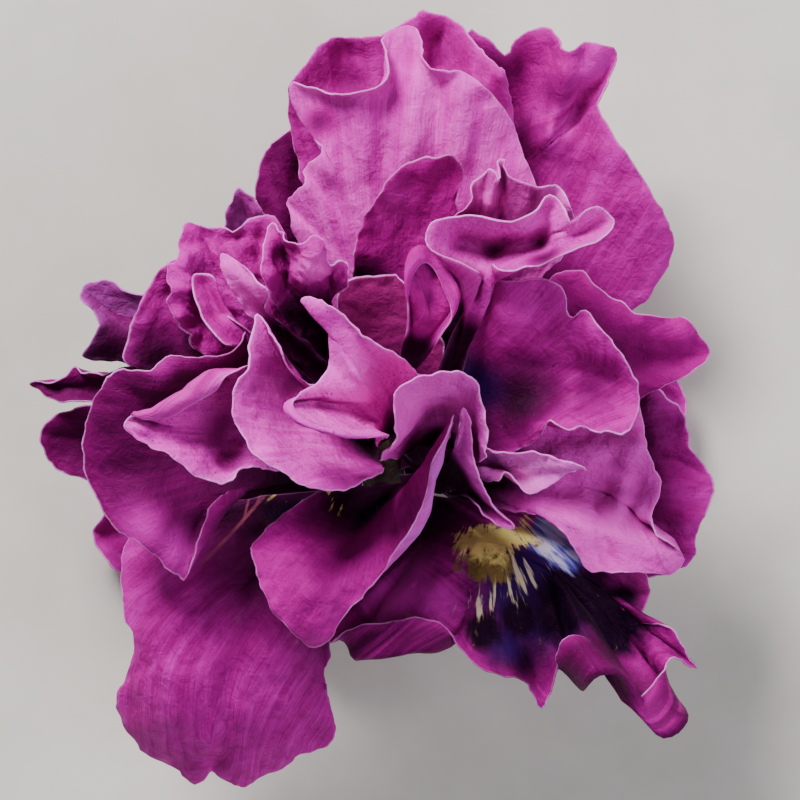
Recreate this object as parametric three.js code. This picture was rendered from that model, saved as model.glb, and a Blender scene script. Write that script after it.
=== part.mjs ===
import * as THREE from "three";

// A double Siberian iris, one bloom picked with a short length of its stem and laid on its
// back. Millimetres, +Z up, away from the surface it lies on; the bloom's top points along +Y.
// Every petal is a thin closed sheet that grows from the receptacle on a narrow claw. It is
// drawn by its midrib and by its rim, which runs up one side, round the tip and down the other.

const BLADE = 0.7; // thickness of every petal
const BRACT = 0.9; // thickness of the two papery bracts
const CLAW_HALF = 1.3; // half the width of a petal where it leaves the receptacle
const CLAW_RADIUS = 6.0; // how far from the crown's middle the claws begin
const CROWN = [-2.5, -11, 22]; // middle of the receptacle
const CENTRE = [-4.12, -0.08]; // middle of the bloom's outline, moved to the origin
const ROLL_LENGTH = 5; // how much of a petal's rim takes part in a roll
const SMOOTHING = 0.055; // share of the rim over which its waves are averaged out
const RIM_SAMPLES = 240;
const UPPER = [-2, -6, 29]; // middle of the receptacle's top, for the inner petals
const UPPER_RADIUS = 5.5;
const RECEPTACLE_RADIUS = 4.2;
const RECEPTACLE_TOP = 1.4;
const OVARY_PROFILE = [[5.8, 2.4], [7.5, 2.3], [9, 2.7], [12, 3.5], [15.5, 3.7], [18.5, 3.1], [20, 2.5]];
const OVARY_LOBES = 0.07;
const STEM_FROM = 20.4;
const STEM_RADIUS = 2.3;
const STEM_LEAN = 0.853; // share of the stem's radius that stands under its middle at the cut
const BRACT_SWELL = 0.8;
const BRACTS = [
  { name: "spathe_outer", from: 26, to: 8, facing: 0.5, spread: 1.15, radius: 4.6, rows: 9, columns: 4 },
  { name: "spathe_inner", from: 25, to: 10, facing: 3.6, spread: 1.1, radius: 4.6, rows: 8, columns: 4 },
];
const MAGENTA = 0xa03c96;
const PALE_GREEN = 0xa9a878;
const LEAF_GREEN = 0x6f8a4a;
const PAPER_BROWN = 0x9c8458;

// Small vector helpers on [x, y, z].
const add = (a, b) => a.map((v, i) => v + b[i]);
const sub = (a, b) => a.map((v, i) => v - b[i]);
const mul = (a, k) => a.map((v) => v * k);
const dot = (a, b) => a[0] * b[0] + a[1] * b[1] + a[2] * b[2];
const size = (a) => Math.sqrt(dot(a, a));
const unit = (a) => mul(a, 1 / Math.max(size(a), 1e-9));
const lerp = (a, b, t) => a.map((v, i) => v + (b[i] - v) * t);
const cross = (a, b) => [
  a[1] * b[2] - a[2] * b[1],
  a[2] * b[0] - a[0] * b[2],
  a[0] * b[1] - a[1] * b[0],
];

// A smooth curve through the points, with the share of its length at each step.
function curveThrough(points, steps = 16) {
  const last = points.length - 1;
  const before = sub(mul(points[0], 2), points[1]);
  const after = sub(mul(points[last], 2), points[last - 1]);
  const all = [before, ...points, after];
  const path = [];
  for (let i = 1; i < all.length - 2; i++) {
    const [p0, p1, p2, p3] = all.slice(i - 1, i + 3);
    for (let k = 0; k < steps; k++) {
      const t = k / steps;
      path.push(p1.map((v, c) => 0.5 * (2 * v + (p2[c] - p0[c]) * t
        + (2 * p0[c] - 5 * v + 4 * p2[c] - p3[c]) * t * t
        + (3 * v - p0[c] - 3 * p2[c] + p3[c]) * t * t * t)));
    }
  }
  path.push(points[last]);
  const share = [0];
  for (let i = 1; i < path.length; i++) {
    share.push(share[i - 1] + size(sub(path[i].slice(0, 3), path[i - 1].slice(0, 3))));
  }
  const length = share[share.length - 1];
  return { path, share: share.map((v) => v / length) };
}

function along(curve, at) {
  const { path, share } = curve;
  const q = Math.min(Math.max(at, 0), 1);
  let i = 1;
  while (i < share.length - 1 && share[i] < q) {
    i += 1;
  }
  const span = share[i] - share[i - 1];
  return lerp(path[i - 1], path[i], span > 0 ? (q - share[i - 1]) / span : 0);
}

// The rim with its waves averaged out; both ends stay where they are.
function averaged(samples, spread) {
  const reach = Math.floor(3 * spread);
  const last = samples.length - 1;
  const at = (i) => {
    if (i < 0) {
      return sub(mul(samples[0], 2), samples[-i]);
    }
    return i > last ? sub(mul(samples[last], 2), samples[2 * last - i]) : samples[i];
  };
  return samples.map((_, i) => {
    let sum = [0, 0, 0];
    let total = 0;
    for (let k = -reach; k <= reach; k++) {
      const weight = Math.exp(-0.5 * (k / spread) ** 2);
      sum = add(sum, mul(at(i + k), weight));
      total += weight;
    }
    return mul(sum, 1 / total);
  });
}

function evenly(samples, at) {
  const x = Math.min(Math.max(at, 0), 1) * (samples.length - 1);
  const i = Math.min(Math.floor(x), samples.length - 2);
  return lerp(samples[i], samples[i + 1], x - i);
}

// How far the petal's folds lift a place on it: each is [x0, y0, x1, y1, width, rise], a ridge
// (or, with a rise below zero, a valley) along the line from one end to the other.
function foldLift(folds, x, y) {
  return folds.reduce((sum, [x0, y0, x1, y1, width, rise]) => {
    const [dx, dy] = [x1 - x0, y1 - y0];
    const share = ((x - x0) * dx + (y - y0) * dy) / (dx * dx + dy * dy);
    const t = Math.min(Math.max(share, 0), 1);
    const away = Math.hypot(x - x0 - dx * t, y - y0 - dy * t);
    return sum + rise * Math.exp(-((away / width) ** 2));
  }, 0);
}

// The middle surface of a petal as rows of points: row 0 is the claw's end, column 0 the
// left rim, the middle column the midrib. The last row runs from the midrib's end to the tip.
function petalRows(petal) {
  const { rows, columns } = petal;
  const [middle, radius] = petal.upper ? [UPPER, UPPER_RADIUS] : [CROWN, CLAW_RADIUS];
  const start = unit(sub(petal.spine[0], middle));
  const base = add(middle, mul(start, radius));
  const rim = petal.rim.map(([x, y, z, roll = 0]) => [x, y, z, roll]);
  const wide = sub(rim[0].slice(0, 3), rim[rim.length - 1].slice(0, 3));
  const side = unit(sub(wide, mul(start, dot(wide, start))));
  const half = petal.claw ?? CLAW_HALF;
  const ends = [add(base, mul(side, half)), sub(base, mul(side, half))];
  const spine = curveThrough([base, ...petal.spine]);
  const edge = curveThrough([[...ends[0], 0], ...rim, [...ends[1], 0]]);
  const tip = edge.share[(petal.tip + 1) * 16];
  const samples = [];
  for (let i = 0; i <= RIM_SAMPLES; i++) {
    samples.push(along(edge, i / RIM_SAMPLES));
  }
  const calm = averaged(samples.map((s) => s.slice(0, 3)), SMOOTHING * RIM_SAMPLES);
  const frames = [];
  for (let i = 0; i <= rows; i++) {
    const f = i / rows;
    const left = tip * f;
    const right = 1 - (1 - tip) * f;
    const ahead = unit(sub(along(spine, f + 0.01), along(spine, f - 0.01)));
    let across = mul(sub(evenly(calm, right), evenly(calm, left)), 0.5);
    across = sub(across, mul(ahead, dot(across, ahead)));
    let normal = unit(cross(across, ahead));
    if (size(across) < 0.3) {
      normal = frames[i - 1].normal;
    }
    frames.push({ middle: along(spine, f), ahead, across, normal, left, right });
  }
  if (frames.reduce((sum, f) => sum + f.normal[2], 0) < 0) {
    frames.forEach((f) => { f.normal = mul(f.normal, -1); });
  }
  return frames.map((f) => {
    const line = new Array(2 * columns + 1);
    for (const sign of [-1, 1]) {
      const at = sign < 0 ? f.left : f.right;
      const rib = petalRib(f, sign, evenly(samples, at), evenly(calm, at), petal);
      rib.forEach((point, j) => {
        line[columns + sign * j] = point;
      });
    }
    const folded = line.map(([x, y, z]) => [x, y, z + foldLift(petal.folds ?? [], x, y)]);
    if (petal.floor !== undefined) {
      return folded.map(([x, y, z]) => [x, y, Math.max(z, petal.floor)]);
    }
    return folded;
  });
}

// One rib from the midrib to the rim. The waves of the rim die away towards the midrib. A rolled
// rim is bent round a cylinder over the length of its curl and runs on straight over its back,
// and its edge still ends at its own point.
function petalRib(frame, sign, rim, calm, petal) {
  const { columns, decay = 2.4, curl = ROLL_LENGTH, back = 0 } = petal;
  const { middle, ahead, across, normal } = frame;
  const reach = sub(calm, middle);
  const slope = add(mul(across, sign), mul(ahead, dot(reach, ahead)));
  const roll = (rim[3] * Math.PI) / 180;
  let edge = rim.slice(0, 3);
  const out = unit(sub(edge, middle));
  const up = unit(sub(normal, mul(out, dot(normal, out))));
  const length = Math.min(curl + back, 0.7 * size(sub(edge, middle)));
  const bend = (length * curl) / (curl + back);
  const rolled = Math.abs(roll) > 0.01;
  const radius = rolled ? bend / Math.abs(roll) : 0;
  // How far the rim is shifted outwards and upwards at a distance from where the roll begins.
  const shift = (into) => {
    const turn = Math.min(into, bend) / radius;
    const rest = Math.max(into - bend, 0);
    const outwards = radius * Math.sin(turn) + rest * Math.cos(turn) - into;
    const upwards = radius * (1 - Math.cos(turn)) + rest * Math.sin(turn);
    return add(mul(out, outwards), mul(up, Math.sign(roll) * upwards));
  };
  if (rolled) {
    edge = sub(edge, shift(length));
  }
  const rib = [];
  for (let j = 0; j <= columns; j++) {
    const t = j / columns;
    const plain = add(add(middle, mul(slope, t)), mul(sub(reach, slope), t * t));
    rib.push(add(plain, mul(sub(edge, calm), t ** decay)));
  }
  if (!rolled) {
    return rib;
  }
  const run = [0];
  for (let j = 1; j <= columns; j++) {
    run.push(run[j - 1] + size(sub(rib[j], rib[j - 1])));
  }
  return rib.map((point, j) => {
    const into = Math.min(Math.max(0, run[j] - (run[columns] - length)), length);
    return add(point, shift(into));
  });
}

// A closed sheet round a middle surface, with the same triangles on both of its faces.
function closedSheet(points, quads, thickness) {
  const normals = points.map(() => [0, 0, 0]);
  const triangles = [];
  for (const [a, b, c, d] of quads) {
    triangles.push([a, b, c], [a, c, d]);
  }
  const used = triangles.filter(([a, b, c]) => a !== b && b !== c && c !== a);
  for (const [a, b, c] of used) {
    const face = cross(sub(points[b], points[a]), sub(points[c], points[a]));
    for (const k of [a, b, c]) {
      normals[k] = add(normals[k], face);
    }
  }
  const count = points.length;
  const half = thickness / 2;
  const vertices = [
    ...points.map((p, i) => add(p, mul(unit(normals[i]), half))),
    ...points.map((p, i) => sub(p, mul(unit(normals[i]), half))),
  ];
  const faces = [];
  const directed = new Set();
  for (const [a, b, c] of used) {
    faces.push([a, b, c], [c + count, b + count, a + count]);
    directed.add(`${a},${b}`).add(`${b},${c}`).add(`${c},${a}`);
  }
  for (const key of directed) {
    const [a, b] = key.split(",").map(Number);
    if (!directed.has(`${b},${a}`)) {
      faces.push([b, a, a + count], [b, a + count, b + count]);
    }
  }
  return { vertices, faces };
}

function petalSolid(petal) {
  const rows = petalRows(petal);
  const columns = petal.columns;
  const last = rows.length - 1;
  const points = [];
  const index = rows.map((line, i) => line.map((point, j) => {
    if (i === last && j > columns) {
      return -1;
    }
    points.push(point);
    return points.length - 1;
  }));
  for (let j = columns + 1; j <= 2 * columns; j++) {
    index[last][j] = index[last][2 * columns - j];
  }
  const quads = [];
  for (let i = 0; i < last; i++) {
    for (let j = 0; j < 2 * columns; j++) {
      quads.push([index[i][j], index[i][j + 1], index[i + 1][j + 1], index[i + 1][j]]);
    }
  }
  return closedSheet(points, quads, BLADE);
}

// Every petal: midrib and rim points are [x, y, z]; a fourth number on a rim point is how far,
// in degrees, the rim is rolled there towards (or, below zero, away from) the petal's upper side.
const PETALS = [
  {
    name: "standard_front", rows: 24, columns: 4, tip: 22, decay: 3,
    spine: [[-1, 4, 30], [0, 16, 36], [0, 28, 39], [0, 38, 41], [0.3, 46.5, 40]],
    rim: [
      [-5, 4, 28], [-11, 14, 30], [-15, 23.5, 32], [-15.5, 26.8, 33], [-16.3, 28.3, 32],
      [-15, 29.8, 35], [-13.3, 31.5, 37], [-13.8, 33.2, 36], [-11.3, 35.5, 39], [-12, 37.5, 38],
      [-14.5, 40.5, 37], [-15.8, 43, 37, 20], [-15.5, 45.3, 38, 40], [-12, 44.6, 42, 70],
      [-9, 43.8, 44, 80], [-6.5, 43.7, 45, 80], [-4.3, 44.4, 45, 70], [-2.4, 45.6, 44.5, 60],
      [-1.5, 47.3, 44, 50], [-1.9, 49.5, 42.5, 50], [-2.7, 51.5, 40, 30], [-1.6, 53, 38],
      [0.4, 53.7, 37], [2, 53.6, 37], [3, 52, 38.5, 30], [3.1, 50.3, 40.5, 50],
      [3.6, 48.6, 42.5, 60], [5, 47.3, 43.5, 70], [6.8, 46.7, 43.5, 60], [8.6, 46.9, 43, 40],
      [11, 45.5, 43, 20], [13, 44, 42, 10], [15, 41.5, 40], [17, 37.5, 38], [18, 34.5, 38],
      [19.5, 31, 37], [20, 27, 36], [17, 20, 34], [11, 10, 31], [3, 3, 28],
    ],
    folds: [
      [-12, 41, -10, 33, 1.7, 1.3], [-6.2, 43, -5, 33, 1.4, 1.1], [2, 46, 2, 36, 1.6, 1.2],
      [9, 44, 8.5, 35, 1.6, 1.1], [-2, 43, -2, 34, 1.3, -1], [5.5, 45, 5.3, 35, 1.4, -1],
    ],
  },
  {
    name: "standard_back", rows: 16, columns: 3, tip: 10, decay: 2.6,
    spine: [[0, 8, 24], [1, 24, 26], [1, 40, 28], [1, 47, 29]],
    rim: [
      [-5, 8, 22], [-12, 24, 24], [-15.5, 38, 28], [-16, 45, 32], [-13.5, 48.5, 33],
      [-12, 50.5, 33], [-10, 52, 33], [-7.5, 52.4, 32], [-5, 52.3, 32], [-2, 52.8, 31],
      [0, 54, 31], [1.8, 55, 31], [3, 56.4, 31], [4.5, 56, 31], [6.5, 55.5, 31], [8, 54.5, 32],
      [9.5, 53, 33], [11.5, 50.5, 35], [14, 48, 38], [15.2, 47, 39], [16, 42, 34], [17, 34, 29],
      [14, 22, 26], [7, 8, 24],
    ],
    folds: [
      [-8.3, 47, -8.3, 49.5, 3.4, -3.5], [5.8, 48, 5.4, 52, 2.2, -4],
    ],
  },
  {
    name: "standard_inner", rows: 12, columns: 3, tip: 8, claw: 0.7, upper: true,
    spine: [[-1, 5, 33], [0, 16, 40], [1, 24, 43]],
    rim: [
      [-3.5, 5, 33], [-6.5, 14, 40], [-6.8, 18.5, 43], [-6.3, 22, 45], [-5.8, 24.5, 46],
      [-4, 28, 47], [-2, 31, 48], [0, 33, 48.5], [2.5, 34.3, 49], [5, 34.6, 49], [7.3, 34.8, 48],
      [8.5, 33.5, 47], [9, 31.5, 46], [8, 28.5, 45], [8, 26, 44], [7, 18, 41], [3, 6, 34],
    ],
  },
  {
    name: "standard_right", rows: 20, columns: 3, tip: 14, decay: 2.6,
    spine: [[3, 0, 20], [10, 16, 19], [16, 32, 20], [22, 38, 21]],
    rim: [
      [1, 4, 19], [3, 22, 20], [6, 42, 23], [9.7, 53, 26], [11, 53.2, 26], [12.5, 52, 27],
      [14, 50.5, 28], [15.5, 50, 28], [17, 52, 27], [19, 53.5, 26], [21, 53.8, 26],
      [22.5, 53, 27], [23.5, 50.8, 29], [25, 50.6, 30], [26.5, 51.5, 29], [29, 51.3, 28],
      [31, 50.5, 27], [31.3, 49.5, 27], [30.2, 46, 27], [28.5, 43, 28], [30, 40, 27],
      [32, 36.5, 26], [34.5, 33, 25], [37, 29, 24], [39, 25.5, 22], [39.8, 22.5, 20],
      [39, 19.5, 19], [37, 16.5, 18], [35, 14, 17], [24, 8, 15], [11, -2, 16],
    ],
    folds: [
      [23.2, 46.5, 21.3, 38, 2.1, 3.5], [21.3, 38, 20.5, 29, 3, 2.5],
      [15.5, 48, 16.5, 34, 3.6, -4.5], [27, 47, 28.5, 50, 1.8, 1.5], [30, 36, 36, 22, 3.5, 1.5],
    ],
  },
  {
    name: "petal_upper_left", rows: 12, columns: 3, tip: 7, claw: 0.9,
    spine: [[-5, 6, 18], [-10, 18, 17], [-14, 30, 18]],
    rim: [
      [-4.5, 1, 19], [-13, 12, 18], [-19, 24, 19], [-21, 28, 20], [-21, 31, 21], [-20, 34.5, 21],
      [-19, 36.8, 21], [-17, 38.3, 22], [-15, 39.5, 22], [-11, 38, 20], [-6, 30, 18],
      [-3, 14, 17], [-2.5, 3, 18],
    ],
    folds: [
      [-17, 24, -16, 37, 2.5, 2],
    ],
  },
  {
    name: "petal_small_curl", rows: 10, columns: 2, tip: 5, claw: 0.9,
    spine: [[-11.5, 1, 19], [-17, 13, 19], [-21, 22, 22]],
    rim: [
      [-9.5, -2, 20], [-19, 9, 20], [-26, 20, 23], [-25.3, 26, 27], [-24.6, 28.5, 28],
      [-23.5, 30.5, 29], [-22.5, 30.3, 29], [-21, 28.5, 29], [-19.3, 26.6, 28], [-16, 20, 25],
      [-9, 8, 22], [-6, 0, 20],
    ],
  },
  {
    name: "crest_outer", rows: 16, columns: 3, tip: 12, claw: 0.9,
    spine: [[-9, -3, 34], [-17, 6, 40], [-24, 16, 45]],
    rim: [
      [-10, -3.5, 33], [-22, 2, 41], [-28, 6.5, 46], [-29.5, 7.5, 47], [-30, 9.5, 48],
      [-31.5, 11, 48], [-32.5, 12.5, 49], [-33, 14.2, 49], [-32.3, 15.7, 50], [-33, 17, 50],
      [-33, 19, 49], [-31.5, 20, 49], [-31.5, 22.5, 49], [-31, 24.5, 48], [-30, 25.2, 47],
      [-27, 24.6, 46], [-24, 24.8, 46], [-22, 25, 46], [-20.5, 26, 45], [-19, 26.2, 45],
      [-17.5, 25.5, 45], [-15.5, 21, 43], [-14.5, 11, 38], [-9, -0.7, 31.5],
    ],
    folds: [
      [-31, 12, -30.5, 20, 1.6, 2], [-28, 23, -20, 23.5, 1.6, -1.5],
      [-29, 7, -28, 12, 1.2, -1.5],
    ],
  },
  {
    name: "crest_ridge", rows: 15, columns: 3, tip: 8, claw: 0.7, upper: true,
    spine: [[-6, 2, 32], [-10, 8.5, 39], [-13, 14, 45.5], [-13.8, 18, 50]],
    rim: [
      [-8, 1.5, 32.5], [-13, 8, 40.5], [-17.5, 13, 47], [-19.5, 17, 49.5], [-19.5, 21, 50],
      [-18.5, 25, 49], [-17, 23.8, 51], [-15.5, 22.5, 53], [-14, 22.5, 54], [-12.5, 23.3, 54],
      [-11, 22.8, 54], [-10.4, 21.5, 54], [-10.2, 19.7, 53.3], [-9.3, 19.5, 52.5],
      [-8.2, 19.7, 52], [-7.2, 18.4, 51], [-7.6, 16.4, 49.5], [-9.3, 14.8, 47.8],
      [-10.9, 12.5, 44.8], [-9.5, 8, 39], [-5, 3, 32],
    ],
    folds: [
      [-13.6, 17.5, -12.3, 20.5, 2, 2.2], [-16.6, 21, -16, 16, 1.2, -2],
      [-10.2, 21, -10, 16.5, 0.9, -1.6], [-18.5, 15.5, -18.6, 22, 1.2, 1.2],
    ],
  },
  {
    name: "crest_tongue", rows: 12, columns: 2, tip: 6, claw: 0.7, upper: true,
    spine: [[-8, 1, 37], [-13, 6.5, 43], [-19, 12, 49], [-22.5, 17, 52.5]],
    rim: [
      [-9.5, -1, 37], [-15, 6, 43], [-21, 11.5, 50], [-22, 13, 51], [-24, 16, 52.5],
      [-25.5, 18.5, 53], [-25.5, 20.5, 53], [-24.5, 20.6, 53], [-22, 19, 53.5], [-20.5, 17, 54],
      [-18.8, 15.5, 54], [-18.7, 14.3, 53], [-18.7, 12, 50], [-12.5, 7.5, 43], [-7, 1, 37],
    ],
    folds: [
      [-24, 18.5, -19.8, 15, 1.8, 1.8],
    ],
  },
  {
    name: "crest_loop", rows: 12, columns: 2, tip: 9, claw: 0.7, upper: true,
    spine: [[-9.7, -3.5, 37.5], [-15, 3, 43.5], [-22, 9, 49], [-26, 12.5, 51]],
    rim: [
      [-10, -3.5, 38], [-17, 2, 44], [-22.5, 7.2, 50], [-24, 7.7, 52], [-25, 8, 52.5],
      [-26.5, 9.5, 52.5], [-28, 11.5, 52.5], [-28.5, 13, 52.5], [-29.3, 15, 52],
      [-29.5, 17.5, 51], [-28.5, 18, 50.5], [-26.5, 17.5, 50.5], [-26, 15, 50.5],
      [-25, 12.5, 50.5], [-22.5, 10.5, 50], [-14.5, 4.5, 43.5], [-8.5, -1.5, 38],
    ],
    folds: [
      [-27.8, 16.3, -26.2, 12.3, 1.5, -2],
    ],
  },
  {
    name: "far_left_point", rows: 14, columns: 2, tip: 7, claw: 0.9,
    spine: [[-14, -6.4, 24.6], [-28, 0, 27], [-42, 2, 27]],
    rim: [
      [-11.5, -8.5, 24.6], [-25, -4, 26], [-38, -1, 27], [-44, -0.3, 28], [-49, -0.2, 27],
      [-51, 0.5, 26], [-53, 1.8, 25], [-53.5, 2.5, 25], [-52.5, 3, 26], [-50.5, 2.5, 27],
      [-48.5, 3.5, 28], [-47, 5, 28], [-46, 4, 29], [-44, 4.2, 29], [-42.5, 3.8, 30],
      [-40, 4.5, 30], [-36, 5.5, 30], [-30, 6, 29], [-18, 1, 26], [-11, -5, 24.5],
    ],
  },
  {
    name: "far_left_curl", rows: 14, columns: 2, tip: 7, claw: 0.9,
    spine: [[-15, 4, 28], [-28, 9, 31], [-39, 11.5, 31]],
    rim: [
      [-13, 0, 28], [-25, 5, 31], [-39, 5.5, 32], [-45.5, 6, 33], [-44, 9, 34], [-43.5, 12, 34],
      [-45.5, 14.3, 34], [-45.6, 15.8, 34], [-45, 16.8, 34], [-43, 17.2, 34], [-41, 16.8, 34],
      [-38.5, 15.5, 34], [-36.5, 15.5, 34], [-34, 17, 34], [-25, 15, 32], [-12, 6, 28],
    ],
  },
  {
    name: "far_left_rise", rows: 10, columns: 2, tip: 6, claw: 0.9,
    spine: [[-15, -1, 33], [-25, 7, 37], [-32, 13, 38]],
    rim: [
      [-13, -4, 32], [-24, 2, 37], [-38.5, 5, 40], [-39, 9, 40], [-37.5, 13, 41], [-36, 16, 41],
      [-33.5, 19.3, 42], [-30, 20, 42], [-22, 14, 39], [-12.5, 2.5, 32],
    ],
  },
  {
    name: "far_left_lower", rows: 12, columns: 2, tip: 6,
    spine: [[-18, -10, 21], [-32, -8.5, 20], [-44, -6.5, 20]],
    rim: [
      [-10, -10, 23], [-25, -6, 22], [-38, -2, 22], [-45, -0.9, 23], [-48, -1.5, 23],
      [-51, -3, 23], [-52, -4.5, 22], [-52, -6, 22], [-51, -8.5, 21], [-49.5, -10.3, 21],
      [-45.5, -11.5, 21], [-38, -13, 20], [-25, -15, 20], [-10, -13, 21],
    ],
  },
  {
    name: "left_broad", rows: 20, columns: 3, tip: 15, claw: 0.9,
    spine: [[-10.5, -10, 35], [-22, -7, 43], [-33, -8, 45]],
    rim: [
      [-11, -6, 37], [-18, -1, 45], [-21, 6, 51], [-22, 9.5, 54], [-23, 8, 55],
      [-24.5, 6.8, 56, -20], [-27, 6.3, 56, -50], [-30, 5.9, 55.5, -75], [-32.5, 6.2, 55, -75],
      [-34, 5.5, 54.5, -65], [-35.5, 4.2, 54, -55], [-38, 4.3, 53, -40], [-40, 4.3, 52],
      [-41.5, 3.3, 51], [-43, 1, 50], [-44.3, -2, 49], [-45.2, -6, 48], [-45, -10, 47],
      [-43.8, -13, 47], [-42, -16.5, 47], [-40, -18.5, 47], [-37, -20.5, 47], [-34, -23, 46],
      [-32, -25, 46], [-30.7, -26, 46], [-30, -24.5, 46], [-29, -21, 46], [-28, -17.5, 46],
      [-26, -14, 44], [-20, -12, 40], [-10, -12, 34],
    ],
    folds: [
      [-39, -3, -34, -20, 5, 2.5], [-29, -18, -31, -24, 1.5, -1.2],
    ],
  },
  {
    name: "left_lip", rows: 16, columns: 3, tip: 13, claw: 0.7, curl: 3, back: 1.6, upper: true,
    spine: [[-10, -7, 41], [-19, -5, 51], [-29, -5, 56]],
    rim: [
      [-9.5, -4, 42], [-15, 3, 51], [-19.6, 7, 55.5], [-20.8, 5.5, 58], [-22, 4.6, 60.5, 50],
      [-24.5, 3.5, 62, 100], [-26, 1.5, 62.5, 150], [-28.5, 0, 62.5, 125],
      [-31, -1.5, 62.5, 155], [-33, -2.5, 61.5, 150], [-35.5, -2.7, 60.5, 125],
      [-37, -2.4, 59.5, 100], [-38.5, -2.6, 59, 60], [-39, -3.8, 58, 10], [-37.5, -5.3, 58],
      [-35, -6.8, 59], [-33, -7.5, 60], [-31, -9.3, 60], [-29, -10.8, 60], [-26.5, -11.6, 60],
      [-24.5, -11.5, 59], [-23, -10.3, 58], [-21.5, -9.5, 56], [-15, -10, 48], [-9.5, -9.5, 40],
    ],
    folds: [
      [-36, -4, -29, -9, 2, 2], [-24, -2.5, -25, -9, 2.2, -2.8], [-30, 0.3, -22, 4.5, 1.2, 1.2],
    ],
  },
  {
    name: "centre_left", rows: 16, columns: 3, tip: 9, claw: 0.7, upper: true,
    spine: [[-6, -6, 42], [-11, -3, 51], [-16, -2, 56]],
    rim: [
      [-5.5, -2.5, 43], [-11, 1.5, 53], [-14.5, 3, 59], [-16, 5, 61], [-18, 9, 61],
      [-20, 12, 60], [-21, 8, 62], [-21.5, 4.5, 64], [-23, 2.5, 65], [-23.7, 0, 65],
      [-23.3, -2.5, 65], [-22, -5.5, 65], [-20, -8, 65], [-17, -10, 65], [-14, -11.7, 64],
      [-10, -12.6, 62.5], [-7, -12.3, 60], [-4.5, -11.2, 57], [-2.6, -10, 53], [-3, -9, 44],
    ],
    folds: [
      [-21.5, -1, -18, -7, 2, 1.5], [-18, -7, -10, -11, 2, 1.5], [-17.5, 3, -14, -3, 2.4, -2.5],
    ],
  },
  {
    name: "centre_scroll", rows: 20, columns: 5, tip: 9, claw: 0.7, curl: 6.5, upper: true,
    spine: [[-1.6, -4.5, 44], [-2.4, -1, 56], [-5, 2, 64]],
    rim: [
      [2, -3, 44], [4, 2, 54], [0, 6, 64], [-5, 9, 68], [-9, 12.7, 69], [-12, 14.4, 69],
      [-14, 14, 68], [-12.5, 13, 67], [-11, 11.5, 66], [-10.2, 10, 66], [-10, 8, 66],
      [-10, 5.5, 66], [-10.7, 3.5, 67], [-12.3, 2, 68], [-14, 1, 69], [-15.1, -0.3, 70, 80],
      [-14.5, -1.7, 71, 130], [-12.5, -3.2, 71, 160], [-10, -4.3, 71, 165], [-7, -5, 71, 165],
      [-4.4, -5.3, 70, 155], [-2.8, -5.4, 69.5, 140], [-1.8, -5.1, 68.8, 110],
      [-1.7, -5.2, 66.8, 60], [-3.2, -6, 58], [-3, -6.5, 46],
    ],
    folds: [
      [-10.5, 12, -5, 2, 2.2, 1.8], [-11.5, -0.5, -5, -2.5, 1.8, -1.8],
    ],
  },
  {
    name: "centre_rim", rows: 14, columns: 3, tip: 10, claw: 0.7, decay: 3.2, upper: true,
    spine: [[4.2, -5.5, 42], [5.4, -3.8, 50], [5.2, -1, 58]],
    rim: [
      [2.5, -6.3, 43], [0, -8, 52], [-2.4, -8.5, 58], [-2.6, -8, 62], [-1.4, -7, 65.5],
      [-0.3, -5.5, 67.8], [-0.6, -3.4, 69.8], [-1.1, -0.4, 71.4], [0.2, 1.8, 72], [3, 3.3, 72],
      [5.5, 4, 72], [8, 4.1, 71], [10, 3.2, 70], [11.2, 1, 68], [11.8, -1.5, 67], [12.3, -4, 66],
      [12.1, -6.8, 64], [11.6, -8.6, 60], [9.6, -7.5, 52], [5.5, -7, 43],
    ],
  },
  {
    name: "centre_flap", rows: 14, columns: 2, tip: 6, claw: 0.8,
    spine: [[8.5, -12.7, 36.6], [11, -9.5, 46], [16, -9.5, 52]],
    rim: [
      [7.8, -10, 37], [11, -7, 47], [12, -7, 54], [15, -7.5, 57], [20, -7.5, 58], [23, -8.5, 58],
      [26.3, -9.9, 57], [24, -10.2, 56], [21.5, -12, 56], [18.5, -13.2, 55], [16.5, -11.7, 55],
      [15, -10.3, 54], [14, -11.3, 54], [13, -11.5, 53], [11.5, -11.5, 48], [8.5, -13.5, 36],
    ],
    folds: [
      [14.5, -9, 24, -9.8, 1.2, 1.2],
    ],
  },
  {
    name: "centre_ribbon", rows: 14, columns: 3, tip: 8, claw: 0.7, upper: true,
    spine: [[4, -11, 37], [6.3, -11, 46], [8.6, -10.3, 54], [9.8, -9.3, 58.6]],
    rim: [
      [3.5, -10.3, 37], [5.2, -9.6, 46], [7.4, -8.2, 54], [8.3, -5.8, 60], [8.4, -3, 63.8],
      [8.9, -1.3, 65.6], [9.6, -1.8, 65], [10, -4.2, 63.2], [10.5, -8.4, 60.4],
      [11.2, -10.8, 59.3], [12.2, -13, 58], [13.6, -15.2, 56], [15, -16.8, 55], [16.4, -18, 54],
      [14.4, -18, 54], [12.4, -16.6, 54.5], [10.2, -14, 54.5], [8.4, -12.6, 49], [5, -13.3, 36],
    ],
  },
  {
    name: "centre_back", rows: 12, columns: 2, tip: 6, claw: 0.7, upper: true,
    spine: [[-2, 2, 36], [-3, 8, 41], [-2, 13, 44]],
    rim: [
      [-4.5, 1, 36], [-8, 6, 41], [-8.6, 11, 43.5], [-8.9, 13.8, 44.4], [-7.5, 16.7, 46],
      [-5, 17.5, 46], [-2, 17.7, 46], [0, 17.7, 46], [2, 15, 46], [4, 11, 45], [6, 8.5, 44],
      [6, 5, 42.5], [4, 2.5, 40], [0.5, 0.5, 36],
    ],
  },
  {
    name: "right_crest", rows: 24, columns: 3, tip: 22, claw: 0.7, upper: true,
    spine: [[6, 1, 42], [10.5, 12.5, 51.8], [13, 18.6, 59.3], [20, 22, 61]],
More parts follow.
